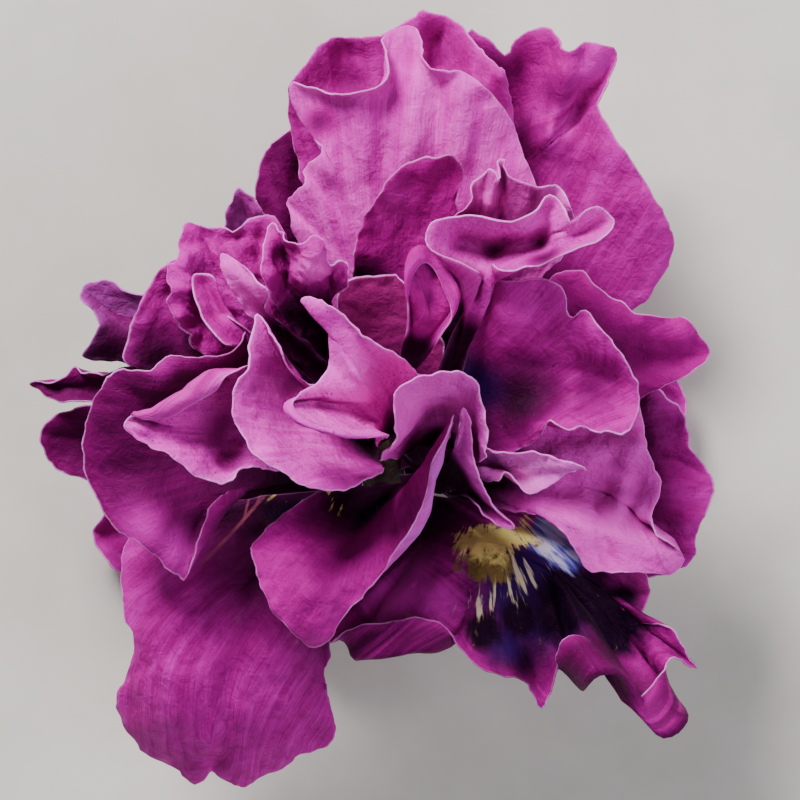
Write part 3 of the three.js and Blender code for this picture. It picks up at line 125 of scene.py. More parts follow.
# Every petal: its midrib (spine) and, round it from one side of the claw to the other, its rim, as
# [x, y, z]. A fourth number on a rim point is how far, in degrees, the rim is rolled there towards
# (or, below zero, away from) the petal's upper side. tip: which rim point is the petal's tip;
# claw: half its claw's width; decay: how close to the rim its waves stay; curl and back: where it
# is rolled, how much of the rim is bent and how much then runs straight on; upper: it grows from
# the receptacle's top; floor: the lowest that it reaches, if not the table; folds: ridges and
# valleys, each [x0, y0, x1, y1, width, rise].
PETALS = [
    dict(name="standard_front", tip=22, decay=3, spine=[
        [-1, 4, 30], [0, 16, 36], [0, 28, 39], [0, 38, 41], [0.3, 46.5, 40],
    ], rim=[
        [-5, 4, 28], [-11, 14, 30], [-15, 23.5, 32], [-15.5, 26.8, 33], [-16.3, 28.3, 32],
        [-15, 29.8, 35], [-13.3, 31.5, 37], [-13.8, 33.2, 36], [-11.3, 35.5, 39], [-12, 37.5, 38],
        [-14.5, 40.5, 37], [-15.8, 43, 37, 20], [-15.5, 45.3, 38, 40], [-12, 44.6, 42, 70],
        [-9, 43.8, 44, 80], [-6.5, 43.7, 45, 80], [-4.3, 44.4, 45, 70], [-2.4, 45.6, 44.5, 60],
        [-1.5, 47.3, 44, 50], [-1.9, 49.5, 42.5, 50], [-2.7, 51.5, 40, 30], [-1.6, 53, 38],
        [0.4, 53.7, 37], [2, 53.6, 37], [3, 52, 38.5, 30], [3.1, 50.3, 40.5, 50], [3.6, 48.6, 42.5, 60],
        [5, 47.3, 43.5, 70], [6.8, 46.7, 43.5, 60], [8.6, 46.9, 43, 40], [11, 45.5, 43, 20],
        [13, 44, 42, 10], [15, 41.5, 40], [17, 37.5, 38], [18, 34.5, 38], [19.5, 31, 37], [20, 27, 36],
        [17, 20, 34], [11, 10, 31], [3, 3, 28],
    ], folds=[
        [-12, 41, -10, 33, 1.7, 1.3], [-6.2, 43, -5, 33, 1.4, 1.1], [2, 46, 2, 36, 1.6, 1.2],
        [9, 44, 8.5, 35, 1.6, 1.1], [-2, 43, -2, 34, 1.3, -1], [5.5, 45, 5.3, 35, 1.4, -1],
    ]),
    dict(name="standard_back", tip=10, decay=2.6, spine=[
        [0, 8, 24], [1, 24, 26], [1, 40, 28], [1, 47, 29],
    ], rim=[
        [-5, 8, 22], [-12, 24, 24], [-15.5, 38, 28], [-16, 45, 32], [-13.5, 48.5, 33], [-12, 50.5, 33],
        [-10, 52, 33], [-7.5, 52.4, 32], [-5, 52.3, 32], [-2, 52.8, 31], [0, 54, 31], [1.8, 55, 31],
        [3, 56.4, 31], [4.5, 56, 31], [6.5, 55.5, 31], [8, 54.5, 32], [9.5, 53, 33], [11.5, 50.5, 35],
        [14, 48, 38], [15.2, 47, 39], [16, 42, 34], [17, 34, 29], [14, 22, 26], [7, 8, 24],
    ], folds=[
        [-8.3, 47, -8.3, 49.5, 3.4, -3.5], [5.8, 48, 5.4, 52, 2.2, -4],
    ]),
    dict(name="standard_inner", tip=8, claw=0.7, upper=True, spine=[
        [-1, 5, 33], [0, 16, 40], [1, 24, 43],
    ], rim=[
        [-3.5, 5, 33], [-6.5, 14, 40], [-6.8, 18.5, 43], [-6.3, 22, 45], [-5.8, 24.5, 46], [-4, 28, 47],
        [-2, 31, 48], [0, 33, 48.5], [2.5, 34.3, 49], [5, 34.6, 49], [7.3, 34.8, 48], [8.5, 33.5, 47],
        [9, 31.5, 46], [8, 28.5, 45], [8, 26, 44], [7, 18, 41], [3, 6, 34],
    ]),
    dict(name="standard_right", tip=14, decay=2.6, spine=[
        [3, 0, 20], [10, 16, 19], [16, 32, 20], [22, 38, 21],
    ], rim=[
        [1, 4, 19], [3, 22, 20], [6, 42, 23], [9.7, 53, 26], [11, 53.2, 26], [12.5, 52, 27],
        [14, 50.5, 28], [15.5, 50, 28], [17, 52, 27], [19, 53.5, 26], [21, 53.8, 26], [22.5, 53, 27],
        [23.5, 50.8, 29], [25, 50.6, 30], [26.5, 51.5, 29], [29, 51.3, 28], [31, 50.5, 27],
        [31.3, 49.5, 27], [30.2, 46, 27], [28.5, 43, 28], [30, 40, 27], [32, 36.5, 26], [34.5, 33, 25],
        [37, 29, 24], [39, 25.5, 22], [39.8, 22.5, 20], [39, 19.5, 19], [37, 16.5, 18], [35, 14, 17],
        [24, 8, 15], [11, -2, 16],
    ], folds=[
        [23.2, 46.5, 21.3, 38, 2.1, 3.5], [21.3, 38, 20.5, 29, 3, 2.5], [15.5, 48, 16.5, 34, 3.6, -4.5],
        [27, 47, 28.5, 50, 1.8, 1.5], [30, 36, 36, 22, 3.5, 1.5],
    ]),
    dict(name="petal_upper_left", tip=7, claw=0.9, spine=[
        [-5, 6, 18], [-10, 18, 17], [-14, 30, 18],
    ], rim=[
        [-4.5, 1, 19], [-13, 12, 18], [-19, 24, 19], [-21, 28, 20], [-21, 31, 21], [-20, 34.5, 21],
        [-19, 36.8, 21], [-17, 38.3, 22], [-15, 39.5, 22], [-11, 38, 20], [-6, 30, 18], [-3, 14, 17],
        [-2.5, 3, 18],
    ], folds=[
        [-17, 24, -16, 37, 2.5, 2],
    ]),
    dict(name="petal_small_curl", tip=5, claw=0.9, spine=[
        [-11.5, 1, 19], [-17, 13, 19], [-21, 22, 22],
    ], rim=[
        [-9.5, -2, 20], [-19, 9, 20], [-26, 20, 23], [-25.3, 26, 27], [-24.6, 28.5, 28],
        [-23.5, 30.5, 29], [-22.5, 30.3, 29], [-21, 28.5, 29], [-19.3, 26.6, 28], [-16, 20, 25],
        [-9, 8, 22], [-6, 0, 20],
    ]),
    dict(name="crest_outer", tip=12, claw=0.9, spine=[
        [-9, -3, 34], [-17, 6, 40], [-24, 16, 45],
    ], rim=[
        [-10, -3.5, 33], [-22, 2, 41], [-28, 6.5, 46], [-29.5, 7.5, 47], [-30, 9.5, 48],
        [-31.5, 11, 48], [-32.5, 12.5, 49], [-33, 14.2, 49], [-32.3, 15.7, 50], [-33, 17, 50],
        [-33, 19, 49], [-31.5, 20, 49], [-31.5, 22.5, 49], [-31, 24.5, 48], [-30, 25.2, 47],
        [-27, 24.6, 46], [-24, 24.8, 46], [-22, 25, 46], [-20.5, 26, 45], [-19, 26.2, 45],
        [-17.5, 25.5, 45], [-15.5, 21, 43], [-14.5, 11, 38], [-9, -0.7, 31.5],
    ], folds=[
        [-31, 12, -30.5, 20, 1.6, 2], [-28, 23, -20, 23.5, 1.6, -1.5], [-29, 7, -28, 12, 1.2, -1.5],
    ]),
    dict(name="crest_ridge", tip=8, claw=0.7, upper=True, spine=[
        [-6, 2, 32], [-10, 8.5, 39], [-13, 14, 45.5], [-13.8, 18, 50],
    ], rim=[
        [-8, 1.5, 32.5], [-13, 8, 40.5], [-17.5, 13, 47], [-19.5, 17, 49.5], [-19.5, 21, 50],
        [-18.5, 25, 49], [-17, 23.8, 51], [-15.5, 22.5, 53], [-14, 22.5, 54], [-12.5, 23.3, 54],
        [-11, 22.8, 54], [-10.4, 21.5, 54], [-10.2, 19.7, 53.3], [-9.3, 19.5, 52.5], [-8.2, 19.7, 52],
        [-7.2, 18.4, 51], [-7.6, 16.4, 49.5], [-9.3, 14.8, 47.8], [-10.9, 12.5, 44.8], [-9.5, 8, 39],
        [-5, 3, 32],
    ], folds=[
        [-13.6, 17.5, -12.3, 20.5, 2, 2.2], [-16.6, 21, -16, 16, 1.2, -2],
        [-10.2, 21, -10, 16.5, 0.9, -1.6], [-18.5, 15.5, -18.6, 22, 1.2, 1.2],
    ]),
    dict(name="crest_tongue", tip=6, claw=0.7, upper=True, spine=[
        [-8, 1, 37], [-13, 6.5, 43], [-19, 12, 49], [-22.5, 17, 52.5],
    ], rim=[
        [-9.5, -1, 37], [-15, 6, 43], [-21, 11.5, 50], [-22, 13, 51], [-24, 16, 52.5],
        [-25.5, 18.5, 53], [-25.5, 20.5, 53], [-24.5, 20.6, 53], [-22, 19, 53.5], [-20.5, 17, 54],
        [-18.8, 15.5, 54], [-18.7, 14.3, 53], [-18.7, 12, 50], [-12.5, 7.5, 43], [-7, 1, 37],
    ], folds=[
        [-24, 18.5, -19.8, 15, 1.8, 1.8],
    ]),
    dict(name="crest_loop", tip=9, claw=0.7, upper=True, spine=[
        [-9.7, -3.5, 37.5], [-15, 3, 43.5], [-22, 9, 49], [-26, 12.5, 51],
    ], rim=[
        [-10, -3.5, 38], [-17, 2, 44], [-22.5, 7.2, 50], [-24, 7.7, 52], [-25, 8, 52.5],
        [-26.5, 9.5, 52.5], [-28, 11.5, 52.5], [-28.5, 13, 52.5], [-29.3, 15, 52], [-29.5, 17.5, 51],
        [-28.5, 18, 50.5], [-26.5, 17.5, 50.5], [-26, 15, 50.5], [-25, 12.5, 50.5], [-22.5, 10.5, 50],
        [-14.5, 4.5, 43.5], [-8.5, -1.5, 38],
    ], folds=[
        [-27.8, 16.3, -26.2, 12.3, 1.5, -2],
    ]),
    dict(name="far_left_point", tip=7, claw=0.9, spine=[
        [-14, -6.4, 24.6], [-28, 0, 27], [-42, 2, 27],
    ], rim=[
        [-11.5, -8.5, 24.6], [-25, -4, 26], [-38, -1, 27], [-44, -0.3, 28], [-49, -0.2, 27],
        [-51, 0.5, 26], [-53, 1.8, 25], [-53.5, 2.5, 25], [-52.5, 3, 26], [-50.5, 2.5, 27],
        [-48.5, 3.5, 28], [-47, 5, 28], [-46, 4, 29], [-44, 4.2, 29], [-42.5, 3.8, 30], [-40, 4.5, 30],
        [-36, 5.5, 30], [-30, 6, 29], [-18, 1, 26], [-11, -5, 24.5],
    ]),
    dict(name="far_left_curl", tip=7, claw=0.9, spine=[
        [-15, 4, 28], [-28, 9, 31], [-39, 11.5, 31],
    ], rim=[
        [-13, 0, 28], [-25, 5, 31], [-39, 5.5, 32], [-45.5, 6, 33], [-44, 9, 34], [-43.5, 12, 34],
        [-45.5, 14.3, 34], [-45.6, 15.8, 34], [-45, 16.8, 34], [-43, 17.2, 34], [-41, 16.8, 34],
        [-38.5, 15.5, 34], [-36.5, 15.5, 34], [-34, 17, 34], [-25, 15, 32], [-12, 6, 28],
    ]),
    dict(name="far_left_rise", tip=6, claw=0.9, spine=[
        [-15, -1, 33], [-25, 7, 37], [-32, 13, 38],
    ], rim=[
        [-13, -4, 32], [-24, 2, 37], [-38.5, 5, 40], [-39, 9, 40], [-37.5, 13, 41], [-36, 16, 41],
        [-33.5, 19.3, 42], [-30, 20, 42], [-22, 14, 39], [-12.5, 2.5, 32],
    ]),
    dict(name="far_left_lower", tip=6, spine=[
        [-18, -10, 21], [-32, -8.5, 20], [-44, -6.5, 20],
    ], rim=[
        [-10, -10, 23], [-25, -6, 22], [-38, -2, 22], [-45, -0.9, 23], [-48, -1.5, 23], [-51, -3, 23],
        [-52, -4.5, 22], [-52, -6, 22], [-51, -8.5, 21], [-49.5, -10.3, 21], [-45.5, -11.5, 21],
        [-38, -13, 20], [-25, -15, 20], [-10, -13, 21],
    ]),
    dict(name="left_broad", tip=15, claw=0.9, spine=[
        [-10.5, -10, 35], [-22, -7, 43], [-33, -8, 45],
    ], rim=[
        [-11, -6, 37], [-18, -1, 45], [-21, 6, 51], [-22, 9.5, 54], [-23, 8, 55], [-24.5, 6.8, 56, -20],
        [-27, 6.3, 56, -50], [-30, 5.9, 55.5, -75], [-32.5, 6.2, 55, -75], [-34, 5.5, 54.5, -65],
        [-35.5, 4.2, 54, -55], [-38, 4.3, 53, -40], [-40, 4.3, 52], [-41.5, 3.3, 51], [-43, 1, 50],
        [-44.3, -2, 49], [-45.2, -6, 48], [-45, -10, 47], [-43.8, -13, 47], [-42, -16.5, 47],
        [-40, -18.5, 47], [-37, -20.5, 47], [-34, -23, 46], [-32, -25, 46], [-30.7, -26, 46],
        [-30, -24.5, 46], [-29, -21, 46], [-28, -17.5, 46], [-26, -14, 44], [-20, -12, 40],
        [-10, -12, 34],
    ], folds=[
        [-39, -3, -34, -20, 5, 2.5], [-29, -18, -31, -24, 1.5, -1.2],
    ]),
    dict(name="left_lip", tip=13, claw=0.7, curl=3, back=1.6, upper=True, spine=[
        [-10, -7, 41], [-19, -5, 51], [-29, -5, 56],
    ], rim=[
        [-9.5, -4, 42], [-15, 3, 51], [-19.6, 7, 55.5], [-20.8, 5.5, 58], [-22, 4.6, 60.5, 50],
        [-24.5, 3.5, 62, 100], [-26, 1.5, 62.5, 150], [-28.5, 0, 62.5, 125], [-31, -1.5, 62.5, 155],
        [-33, -2.5, 61.5, 150], [-35.5, -2.7, 60.5, 125], [-37, -2.4, 59.5, 100], [-38.5, -2.6, 59, 60],
        [-39, -3.8, 58, 10], [-37.5, -5.3, 58], [-35, -6.8, 59], [-33, -7.5, 60], [-31, -9.3, 60],
        [-29, -10.8, 60], [-26.5, -11.6, 60], [-24.5, -11.5, 59], [-23, -10.3, 58], [-21.5, -9.5, 56],
        [-15, -10, 48], [-9.5, -9.5, 40],
    ], folds=[
        [-36, -4, -29, -9, 2, 2], [-24, -2.5, -25, -9, 2.2, -2.8], [-30, 0.3, -22, 4.5, 1.2, 1.2],
    ]),
    dict(name="centre_left", tip=9, claw=0.7, upper=True, spine=[
        [-6, -6, 42], [-11, -3, 51], [-16, -2, 56],
    ], rim=[
        [-5.5, -2.5, 43], [-11, 1.5, 53], [-14.5, 3, 59], [-16, 5, 61], [-18, 9, 61], [-20, 12, 60],
        [-21, 8, 62], [-21.5, 4.5, 64], [-23, 2.5, 65], [-23.7, 0, 65], [-23.3, -2.5, 65],
        [-22, -5.5, 65], [-20, -8, 65], [-17, -10, 65], [-14, -11.7, 64], [-10, -12.6, 62.5],
        [-7, -12.3, 60], [-4.5, -11.2, 57], [-2.6, -10, 53], [-3, -9, 44],
    ], folds=[
        [-21.5, -1, -18, -7, 2, 1.5], [-18, -7, -10, -11, 2, 1.5], [-17.5, 3, -14, -3, 2.4, -2.5],
    ]),
    dict(name="centre_scroll", tip=9, claw=0.7, curl=6.5, upper=True, spine=[
        [-1.6, -4.5, 44], [-2.4, -1, 56], [-5, 2, 64],
    ], rim=[
        [2, -3, 44], [4, 2, 54], [0, 6, 64], [-5, 9, 68], [-9, 12.7, 69], [-12, 14.4, 69],
        [-14, 14, 68], [-12.5, 13, 67], [-11, 11.5, 66], [-10.2, 10, 66], [-10, 8, 66], [-10, 5.5, 66],
        [-10.7, 3.5, 67], [-12.3, 2, 68], [-14, 1, 69], [-15.1, -0.3, 70, 80], [-14.5, -1.7, 71, 130],
        [-12.5, -3.2, 71, 160], [-10, -4.3, 71, 165], [-7, -5, 71, 165], [-4.4, -5.3, 70, 155],
        [-2.8, -5.4, 69.5, 140], [-1.8, -5.1, 68.8, 110], [-1.7, -5.2, 66.8, 60], [-3.2, -6, 58],
        [-3, -6.5, 46],
    ], folds=[
        [-10.5, 12, -5, 2, 2.2, 1.8], [-11.5, -0.5, -5, -2.5, 1.8, -1.8],
    ]),
    dict(name="centre_rim", tip=10, claw=0.7, decay=3.2, upper=True, spine=[
        [4.2, -5.5, 42], [5.4, -3.8, 50], [5.2, -1, 58],
    ], rim=[
        [2.5, -6.3, 43], [0, -8, 52], [-2.4, -8.5, 58], [-2.6, -8, 62], [-1.4, -7, 65.5],
        [-0.3, -5.5, 67.8], [-0.6, -3.4, 69.8], [-1.1, -0.4, 71.4], [0.2, 1.8, 72], [3, 3.3, 72],
        [5.5, 4, 72], [8, 4.1, 71], [10, 3.2, 70], [11.2, 1, 68], [11.8, -1.5, 67], [12.3, -4, 66],
        [12.1, -6.8, 64], [11.6, -8.6, 60], [9.6, -7.5, 52], [5.5, -7, 43],
    ]),
    dict(name="centre_flap", tip=6, claw=0.8, spine=[
        [8.5, -12.7, 36.6], [11, -9.5, 46], [16, -9.5, 52],
    ], rim=[
        [7.8, -10, 37], [11, -7, 47], [12, -7, 54], [15, -7.5, 57], [20, -7.5, 58], [23, -8.5, 58],
        [26.3, -9.9, 57], [24, -10.2, 56], [21.5, -12, 56], [18.5, -13.2, 55], [16.5, -11.7, 55],
        [15, -10.3, 54], [14, -11.3, 54], [13, -11.5, 53], [11.5, -11.5, 48], [8.5, -13.5, 36],
    ], folds=[
        [14.5, -9, 24, -9.8, 1.2, 1.2],
    ]),
    dict(name="centre_ribbon", tip=8, claw=0.7, upper=True, spine=[
        [4, -11, 37], [6.3, -11, 46], [8.6, -10.3, 54], [9.8, -9.3, 58.6],
    ], rim=[
        [3.5, -10.3, 37], [5.2, -9.6, 46], [7.4, -8.2, 54], [8.3, -5.8, 60], [8.4, -3, 63.8],
        [8.9, -1.3, 65.6], [9.6, -1.8, 65], [10, -4.2, 63.2], [10.5, -8.4, 60.4], [11.2, -10.8, 59.3],
        [12.2, -13, 58], [13.6, -15.2, 56], [15, -16.8, 55], [16.4, -18, 54], [14.4, -18, 54],
        [12.4, -16.6, 54.5], [10.2, -14, 54.5], [8.4, -12.6, 49], [5, -13.3, 36],
    ]),
    dict(name="centre_back", tip=6, claw=0.7, upper=True, spine=[
        [-2, 2, 36], [-3, 8, 41], [-2, 13, 44],
    ], rim=[
        [-4.5, 1, 36], [-8, 6, 41], [-8.6, 11, 43.5], [-8.9, 13.8, 44.4], [-7.5, 16.7, 46],
        [-5, 17.5, 46], [-2, 17.7, 46], [0, 17.7, 46], [2, 15, 46], [4, 11, 45], [6, 8.5, 44],
        [6, 5, 42.5], [4, 2.5, 40], [0.5, 0.5, 36],
    ]),
    dict(name="right_crest", tip=22, claw=0.7, upper=True, spine=[
        [6, 1, 42], [10.5, 12.5, 51.8], [13, 18.6, 59.3], [20, 22, 61],
    ], rim=[
        [4.3, 1.5, 43], [6.8, 8, 48], [9.3, 13, 51], [11.4, 16.5, 56], [11.2, 18, 58.9],
        [9, 19.3, 60.1], [6, 20.4, 60.4], [3.8, 21.8, 60.4], [3.8, 24, 60.5], [5, 25.4, 61],
        [8, 25.9, 62, 40], [10.5, 26, 63, 70], [13, 25.4, 63.5, 80], [16, 25.3, 63, 80],
        [19, 26.6, 62, 60], [20.8, 29, 60, 20], [22.5, 28.4, 60], [23.5, 26.5, 61], [24.5, 24.3, 61],
        [25.5, 26, 61], [27.5, 27.4, 60], [29, 26.8, 60], [30.3, 25.6, 59], [30.3, 24.8, 59],
        [29.8, 24, 60], [28, 22.5, 61], [25, 21.3, 62], [22, 20, 63], [20, 19, 63.5], [18, 18.9, 63],
        [16, 18.2, 63], [14, 18.5, 63], [13, 19.2, 61.5], [13.2, 17.8, 59.5], [13.1, 16, 57],
        [12, 12.5, 51.8], [10, 8, 48], [7.4, 0.7, 43.3],
    ], folds=[
        [8.8, 22.6, 13.5, 21.4, 1.9, -4.2], [13.5, 21.4, 19.5, 22.2, 1.9, -4.2],
        [20.3, 23, 21.5, 27, 1.5, -2.5], [25, 23.4, 28.3, 25.3, 1.7, -2.5],
    ]),
    dict(name="right_crest_back", tip=10, claw=0.7, upper=True, spine=[
        [5, 4, 36], [10, 14, 43], [13, 24, 49],
    ], rim=[
        [3.5, 4.5, 36], [6, 14, 42], [6.5, 22, 47], [8, 26.5, 52], [10, 28.5, 54], [11, 31, 54],
        [12.2, 32.6, 54], [13.3, 32.6, 55], [13.8, 31, 57], [14.2, 33.5, 55], [15, 34, 54],
        [16, 32, 55], [18, 30.7, 56], [20, 30.2, 56], [21.5, 30.1, 55], [23, 29.2, 54], [24.8, 27, 53],
        [24, 22, 50], [17, 14, 45], [7, 4, 36],
    ]),
    dict(name="right_curl", tip=7, claw=0.7, curl=3.4, back=1.6, upper=True, spine=[
        [-0.2, 2.6, 44.5], [2.4, 8, 50], [4.2, 11, 53], [4.1, 13.6, 54],
    ], rim=[
        [-0.6, 2.7, 44.5], [0.3, 7.5, 49.5], [1, 10.2, 53, 60], [1.1, 12.4, 56, 120],
        [1.1, 14.5, 57.5, 145], [1.5, 16.8, 58, 150], [2.5, 18.8, 58, 150], [3.6, 19.5, 57.5, 150],
        [4.7, 18.7, 56.5, 150], [5.6, 17.1, 56.2, 150], [6.5, 15.1, 56.5, 150], [7.2, 13.2, 56.5, 140],
        [7.2, 11.4, 56, 110], [6.2, 9.8, 54.6, 60], [4.1, 6.5, 50], [1, 2.6, 44.5],
    ]),
    dict(name="right_broad", tip=17, claw=0.9, spine=[
        [6, -5, 36], [14, -1, 45], [22, 5, 49],
    ], rim=[
        [6, -3.5, 35], [9.8, 4.5, 40], [9.9, 11, 43.8], [10.3, 15, 46.6], [11.5, 17, 50.8],
        [15, 16.8, 55], [20, 17.3, 56], [22.3, 16.5, 56], [23.5, 14.8, 55], [23.5, 12.5, 53],
        [24.2, 11.7, 53], [25, 12, 54], [26, 12.9, 55], [27, 12.3, 55], [28, 10.8, 55], [30, 8.5, 55],
        [32, 6, 55], [33.5, 3, 54], [34.1, 0, 53], [33.6, -2.5, 53], [32.5, -4.2, 54], [31, -4.8, 55],
        [29.5, -4.4, 56], [28, -4.6, 57], [26.5, -3.6, 57], [25.5, -3.7, 58], [24, -4.1, 58],
        [22.5, -3.3, 58], [21.3, -2.9, 57], [20.5, -4, 55], [19, -6, 51], [14, -8, 45], [7, -8, 36],
    ], folds=[
        [15, 13, 27, 9, 4, 2.2], [24, 0, 30, 0, 4, -1.5], [16, 6, 30, 3.5, 1.5, -1],
    ]),
    dict(name="far_right", tip=10, spine=[
        [8, -4, 30], [20, 2, 33], [32, 6, 34],
    ], rim=[
        [6, 0, 30], [14, 10, 34], [21, 17, 37], [25.5, 18.7, 38], [28, 16.5, 38], [31, 14.5, 37],
        [35, 12.2, 37], [39, 12, 36], [40.5, 11.8, 36], [43, 9.5, 35], [44.5, 6.7, 34], [43.5, 5, 35],
        [41, 3.5, 35], [38, 1.8, 34], [36, 1, 33], [30, -3, 31], [20, -7, 29], [8, -8, 28],
    ], folds=[
        [28, 13, 40, 9, 3, 2], [30, 5, 40, 6, 2.5, -1.5],
    ]),
    dict(name="back_right", tip=10, spine=[
        [8, -11, 23], [22, -11, 23], [33, -11, 23],
    ], rim=[
        [7, -8, 23], [18, -2, 24], [28, 4, 25], [35.5, 4.7, 26], [36.5, 2.5, 28], [38.5, 0.2, 28],
        [40, -0.7, 27], [41.3, -2.5, 27], [41.8, -6, 27], [43.5, -9, 26], [45.2, -12, 25],
        [45, -14.5, 25], [43.5, -17.5, 26], [42.7, -20.5, 26], [42.5, -22.5, 27], [39, -25, 26],
        [30, -26, 23], [18, -22, 21], [7, -14, 21],
    ], folds=[
        [36, -2, 41, -18, 2, 1.8], [38, -8, 44, -10, 1.4, -1.4], [37, -16, 43, -17, 1.4, 1.4],
    ]),
    dict(name="right_crumpled", tip=12, spine=[
        [8, -10, 31], [18, -11, 38], [28, -13, 40],
    ], rim=[
        [7, -7, 33], [16, -5, 40], [26, 0, 43], [33, 1, 42], [34.8, -3, 42], [35, -6, 43],
        [36.5, -9.5, 43], [37.2, -12, 42], [36.5, -15, 43], [36, -18, 44], [38.5, -20.5, 42],
        [41, -22.5, 40], [38.5, -24.9, 42], [35, -24.7, 44], [30, -24.6, 45], [27, -24.3, 45],
        [25.5, -22, 44], [24, -19.5, 43], [21, -17, 41], [14, -15.5, 37], [7, -13, 31],
    ], folds=[
        [22, -8, 34, -6, 1.6, 1.6], [22, -13, 34, -12, 1.8, -1], [24, -17, 38, -22, 2, 2],
        [28, -15, 30, -23, 1.3, -1.3], [33, -8, 31, -16, 1.3, 1.2],
    ]),
    dict(name="fall_centre", tip=9, spine=[
        [-4, -15, 38], [-6, -19, 48], [-9, -25, 53], [-12, -30, 51],
    ], rim=[
        [-8.5, -12.2, 35], [-15, -15, 43], [-21, -20.7, 49], [-21.3, -21.5, 50], [-20.3, -24.5, 50],
        [-19.3, -27.5, 50], [-18, -30.2, 50], [-16, -32, 50], [-14.5, -34, 49], [-13, -35.2, 48],
        [-11.5, -35.2, 48], [-10, -34, 49], [-8, -31, 51, 40], [-5.5, -28, 53, 60],
        [-2.5, -24.5, 55, 80], [0, -20.5, 57, 95], [2, -17.4, 58, 100], [3.5, -14, 59, 100],
        [3.9, -11, 60, 90], [4.4, -8.7, 61, 70], [5.8, -6.6, 62, 50], [7, -4, 63, 20],
        [7.6, -1.9, 63.5], [7.2, -4.5, 60.5], [5, -8.6, 52], [1.6, -11.5, 40],
    ], folds=[
        [-14, -23, -12, -32, 3, 1.8], [-6, -16, -9, -24, 3, -2],
    ]),
    dict(name="fall_left", tip=20, spine=[
        [-8, -18, 27], [-17, -27, 34], [-24, -36, 36], [-26, -43, 34],
    ], rim=[
        [-8, -13, 26], [-20, -14, 31], [-30, -16, 32], [-37, -19, 31], [-39.3, -20.5, 30],
        [-40, -23, 30], [-40.3, -26, 30], [-39.7, -29, 31], [-39.5, -32, 31], [-38.7, -33, 32],
        [-38.6, -36, 31], [-39.5, -40, 28], [-41, -42.5, 26], [-40.8, -45.5, 24], [-39.5, -48, 23],
        [-37, -50.8, 22], [-35, -52.3, 22], [-33, -53, 22], [-31.5, -54.5, 22], [-30, -55.5, 21],
        [-28.5, -54.8, 22], [-27.5, -53.5, 23], [-25.5, -54.8, 22], [-23, -56, 20], [-21.5, -55.8, 20],
        [-20, -54.5, 21], [-17.5, -53.8, 21], [-15.5, -52, 22], [-14.5, -51, 23], [-12, -50.5, 23],
        [-10.5, -49.8, 24], [-9.4, -48, 26], [-9.8, -45, 28], [-10.8, -42, 30], [-10.9, -39.5, 31],
        [-10.2, -37, 32], [-10, -33, 31], [-7, -25, 28], [-5, -18, 24],
    ], folds=[
        [-21, -20, -26.5, -52, 1.6, -1.4], [-33, -24, -34, -46, 4.5, 2.5], [-15, -27, -17, -48, 4, 2.2],
    ]),
    dict(name="fall_right", tip=22, decay=2.8, curl=2.6, back=6.4, spine=[
        [4, -18, 31], [10, -20, 36], [15, -21.5, 39], [20, -23.5, 40],
    ], rim=[
        [0, -16, 29], [-4, -25, 35], [-8, -31, 38], [-10.2, -34.6, 41, 0], [-9, -34.2, 43, 60],
        [-7.5, -33, 44.5, 95], [-5, -32.1, 45.5, 110], [-1.5, -31.8, 46, 112], [2, -31.2, 46.5, 112],
        [5, -31.6, 46.5, 105], [7.2, -33, 46, 80], [8.4, -35, 45, 40], [10, -37.2, 44.5, 20],
        [12.5, -38.8, 44, 30], [15, -39.2, 44.5, 40], [17.3, -39.8, 44, 30], [18.6, -41.6, 43, 10],
        [20, -44.2, 42], [21.5, -42, 43.5, 10], [22, -39, 46, 50], [22.4, -36.6, 48, 120],
        [23.2, -34.4, 49.5, 155], [24.6, -33.4, 50, 170], [26.2, -33.6, 50, 168],
        [27.8, -35.4, 49, 158], [29, -38.2, 47.5, 155], [30.3, -41, 46.5, 158], [32, -43, 46.5, 164],
        [34, -42.8, 46.5, 165], [36, -41, 46, 155], [37.4, -38.9, 45.5, 110], [38.6, -37, 44.5, 50],
        [40, -37.2, 42.5, 20], [42.4, -38.4, 41], [41, -36, 42.5, 20], [39.8, -33.6, 43.5, 40],
        [38, -32.2, 43.5, 30], [36, -31.9, 43, 10], [34.3, -32, 42], [34.6, -30.5, 41.5],
        [35.5, -28.5, 41], [35.7, -26.5, 39], [33, -22, 36], [24, -16, 35], [14, -15, 33], [6, -14, 29],
    ], folds=[
        [14, -32, 16, -40, 2.2, 1.8], [31, -32, 34, -38, 2.6, -2],
    ]),
    dict(name="under_left", tip=7, floor=0.35, spine=[
        [-12, -12, 13], [-23, -15, 4.5], [-32, -16.5, -2.5],
    ], rim=[
        [-11, -9, 15], [-20, -3, 11], [-28, -1.5, 8], [-33, -4, 8], [-37, -5, 5], [-41, -8, 7],
        [-43.5, -12, 5], [-43, -16, 7], [-45, -20, 5], [-42, -24.5, 7], [-38, -26, 5], [-34, -28, 7],
        [-29, -25, 6], [-24, -21, 9], [-12, -14.5, 13],
    ]),
    dict(name="under_right", tip=7, floor=0.35, spine=[
        [8, -9, 13], [20, -5, 4.5], [29, -3, -2.5],
    ], rim=[
        [7, -5, 15], [16, 4, 12], [23, 9, 9], [28, 9.5, 7], [32, 11, 9], [37, 8, 6], [39.5, 4, 8],
        [42, 0, 6], [41, -5, 8], [39.5, -10, 6], [36, -13, 8], [31, -15.5, 6], [26, -15.5, 8],
        [18, -14, 9], [7, -13, 13],
    ]),
    dict(name="under_top", tip=8, floor=0.35, spine=[
        [-1, 2, 12], [-2, 15, 4], [-2, 26, -2.5],
    ], rim=[
        [-5, 2, 13], [-12, 11, 10], [-16, 19, 8], [-18, 26, 9], [-15.5, 31, 6], [-14, 36, 8],
        [-9, 38.5, 6], [-5, 41.5, 8], [-1, 41, 6], [4, 41.5, 8], [8, 38, 6], [11.5, 34, 8],
        [13.5, 27, 6], [13, 20, 8], [9, 10, 10], [2.5, 1, 13],
    ]),
]


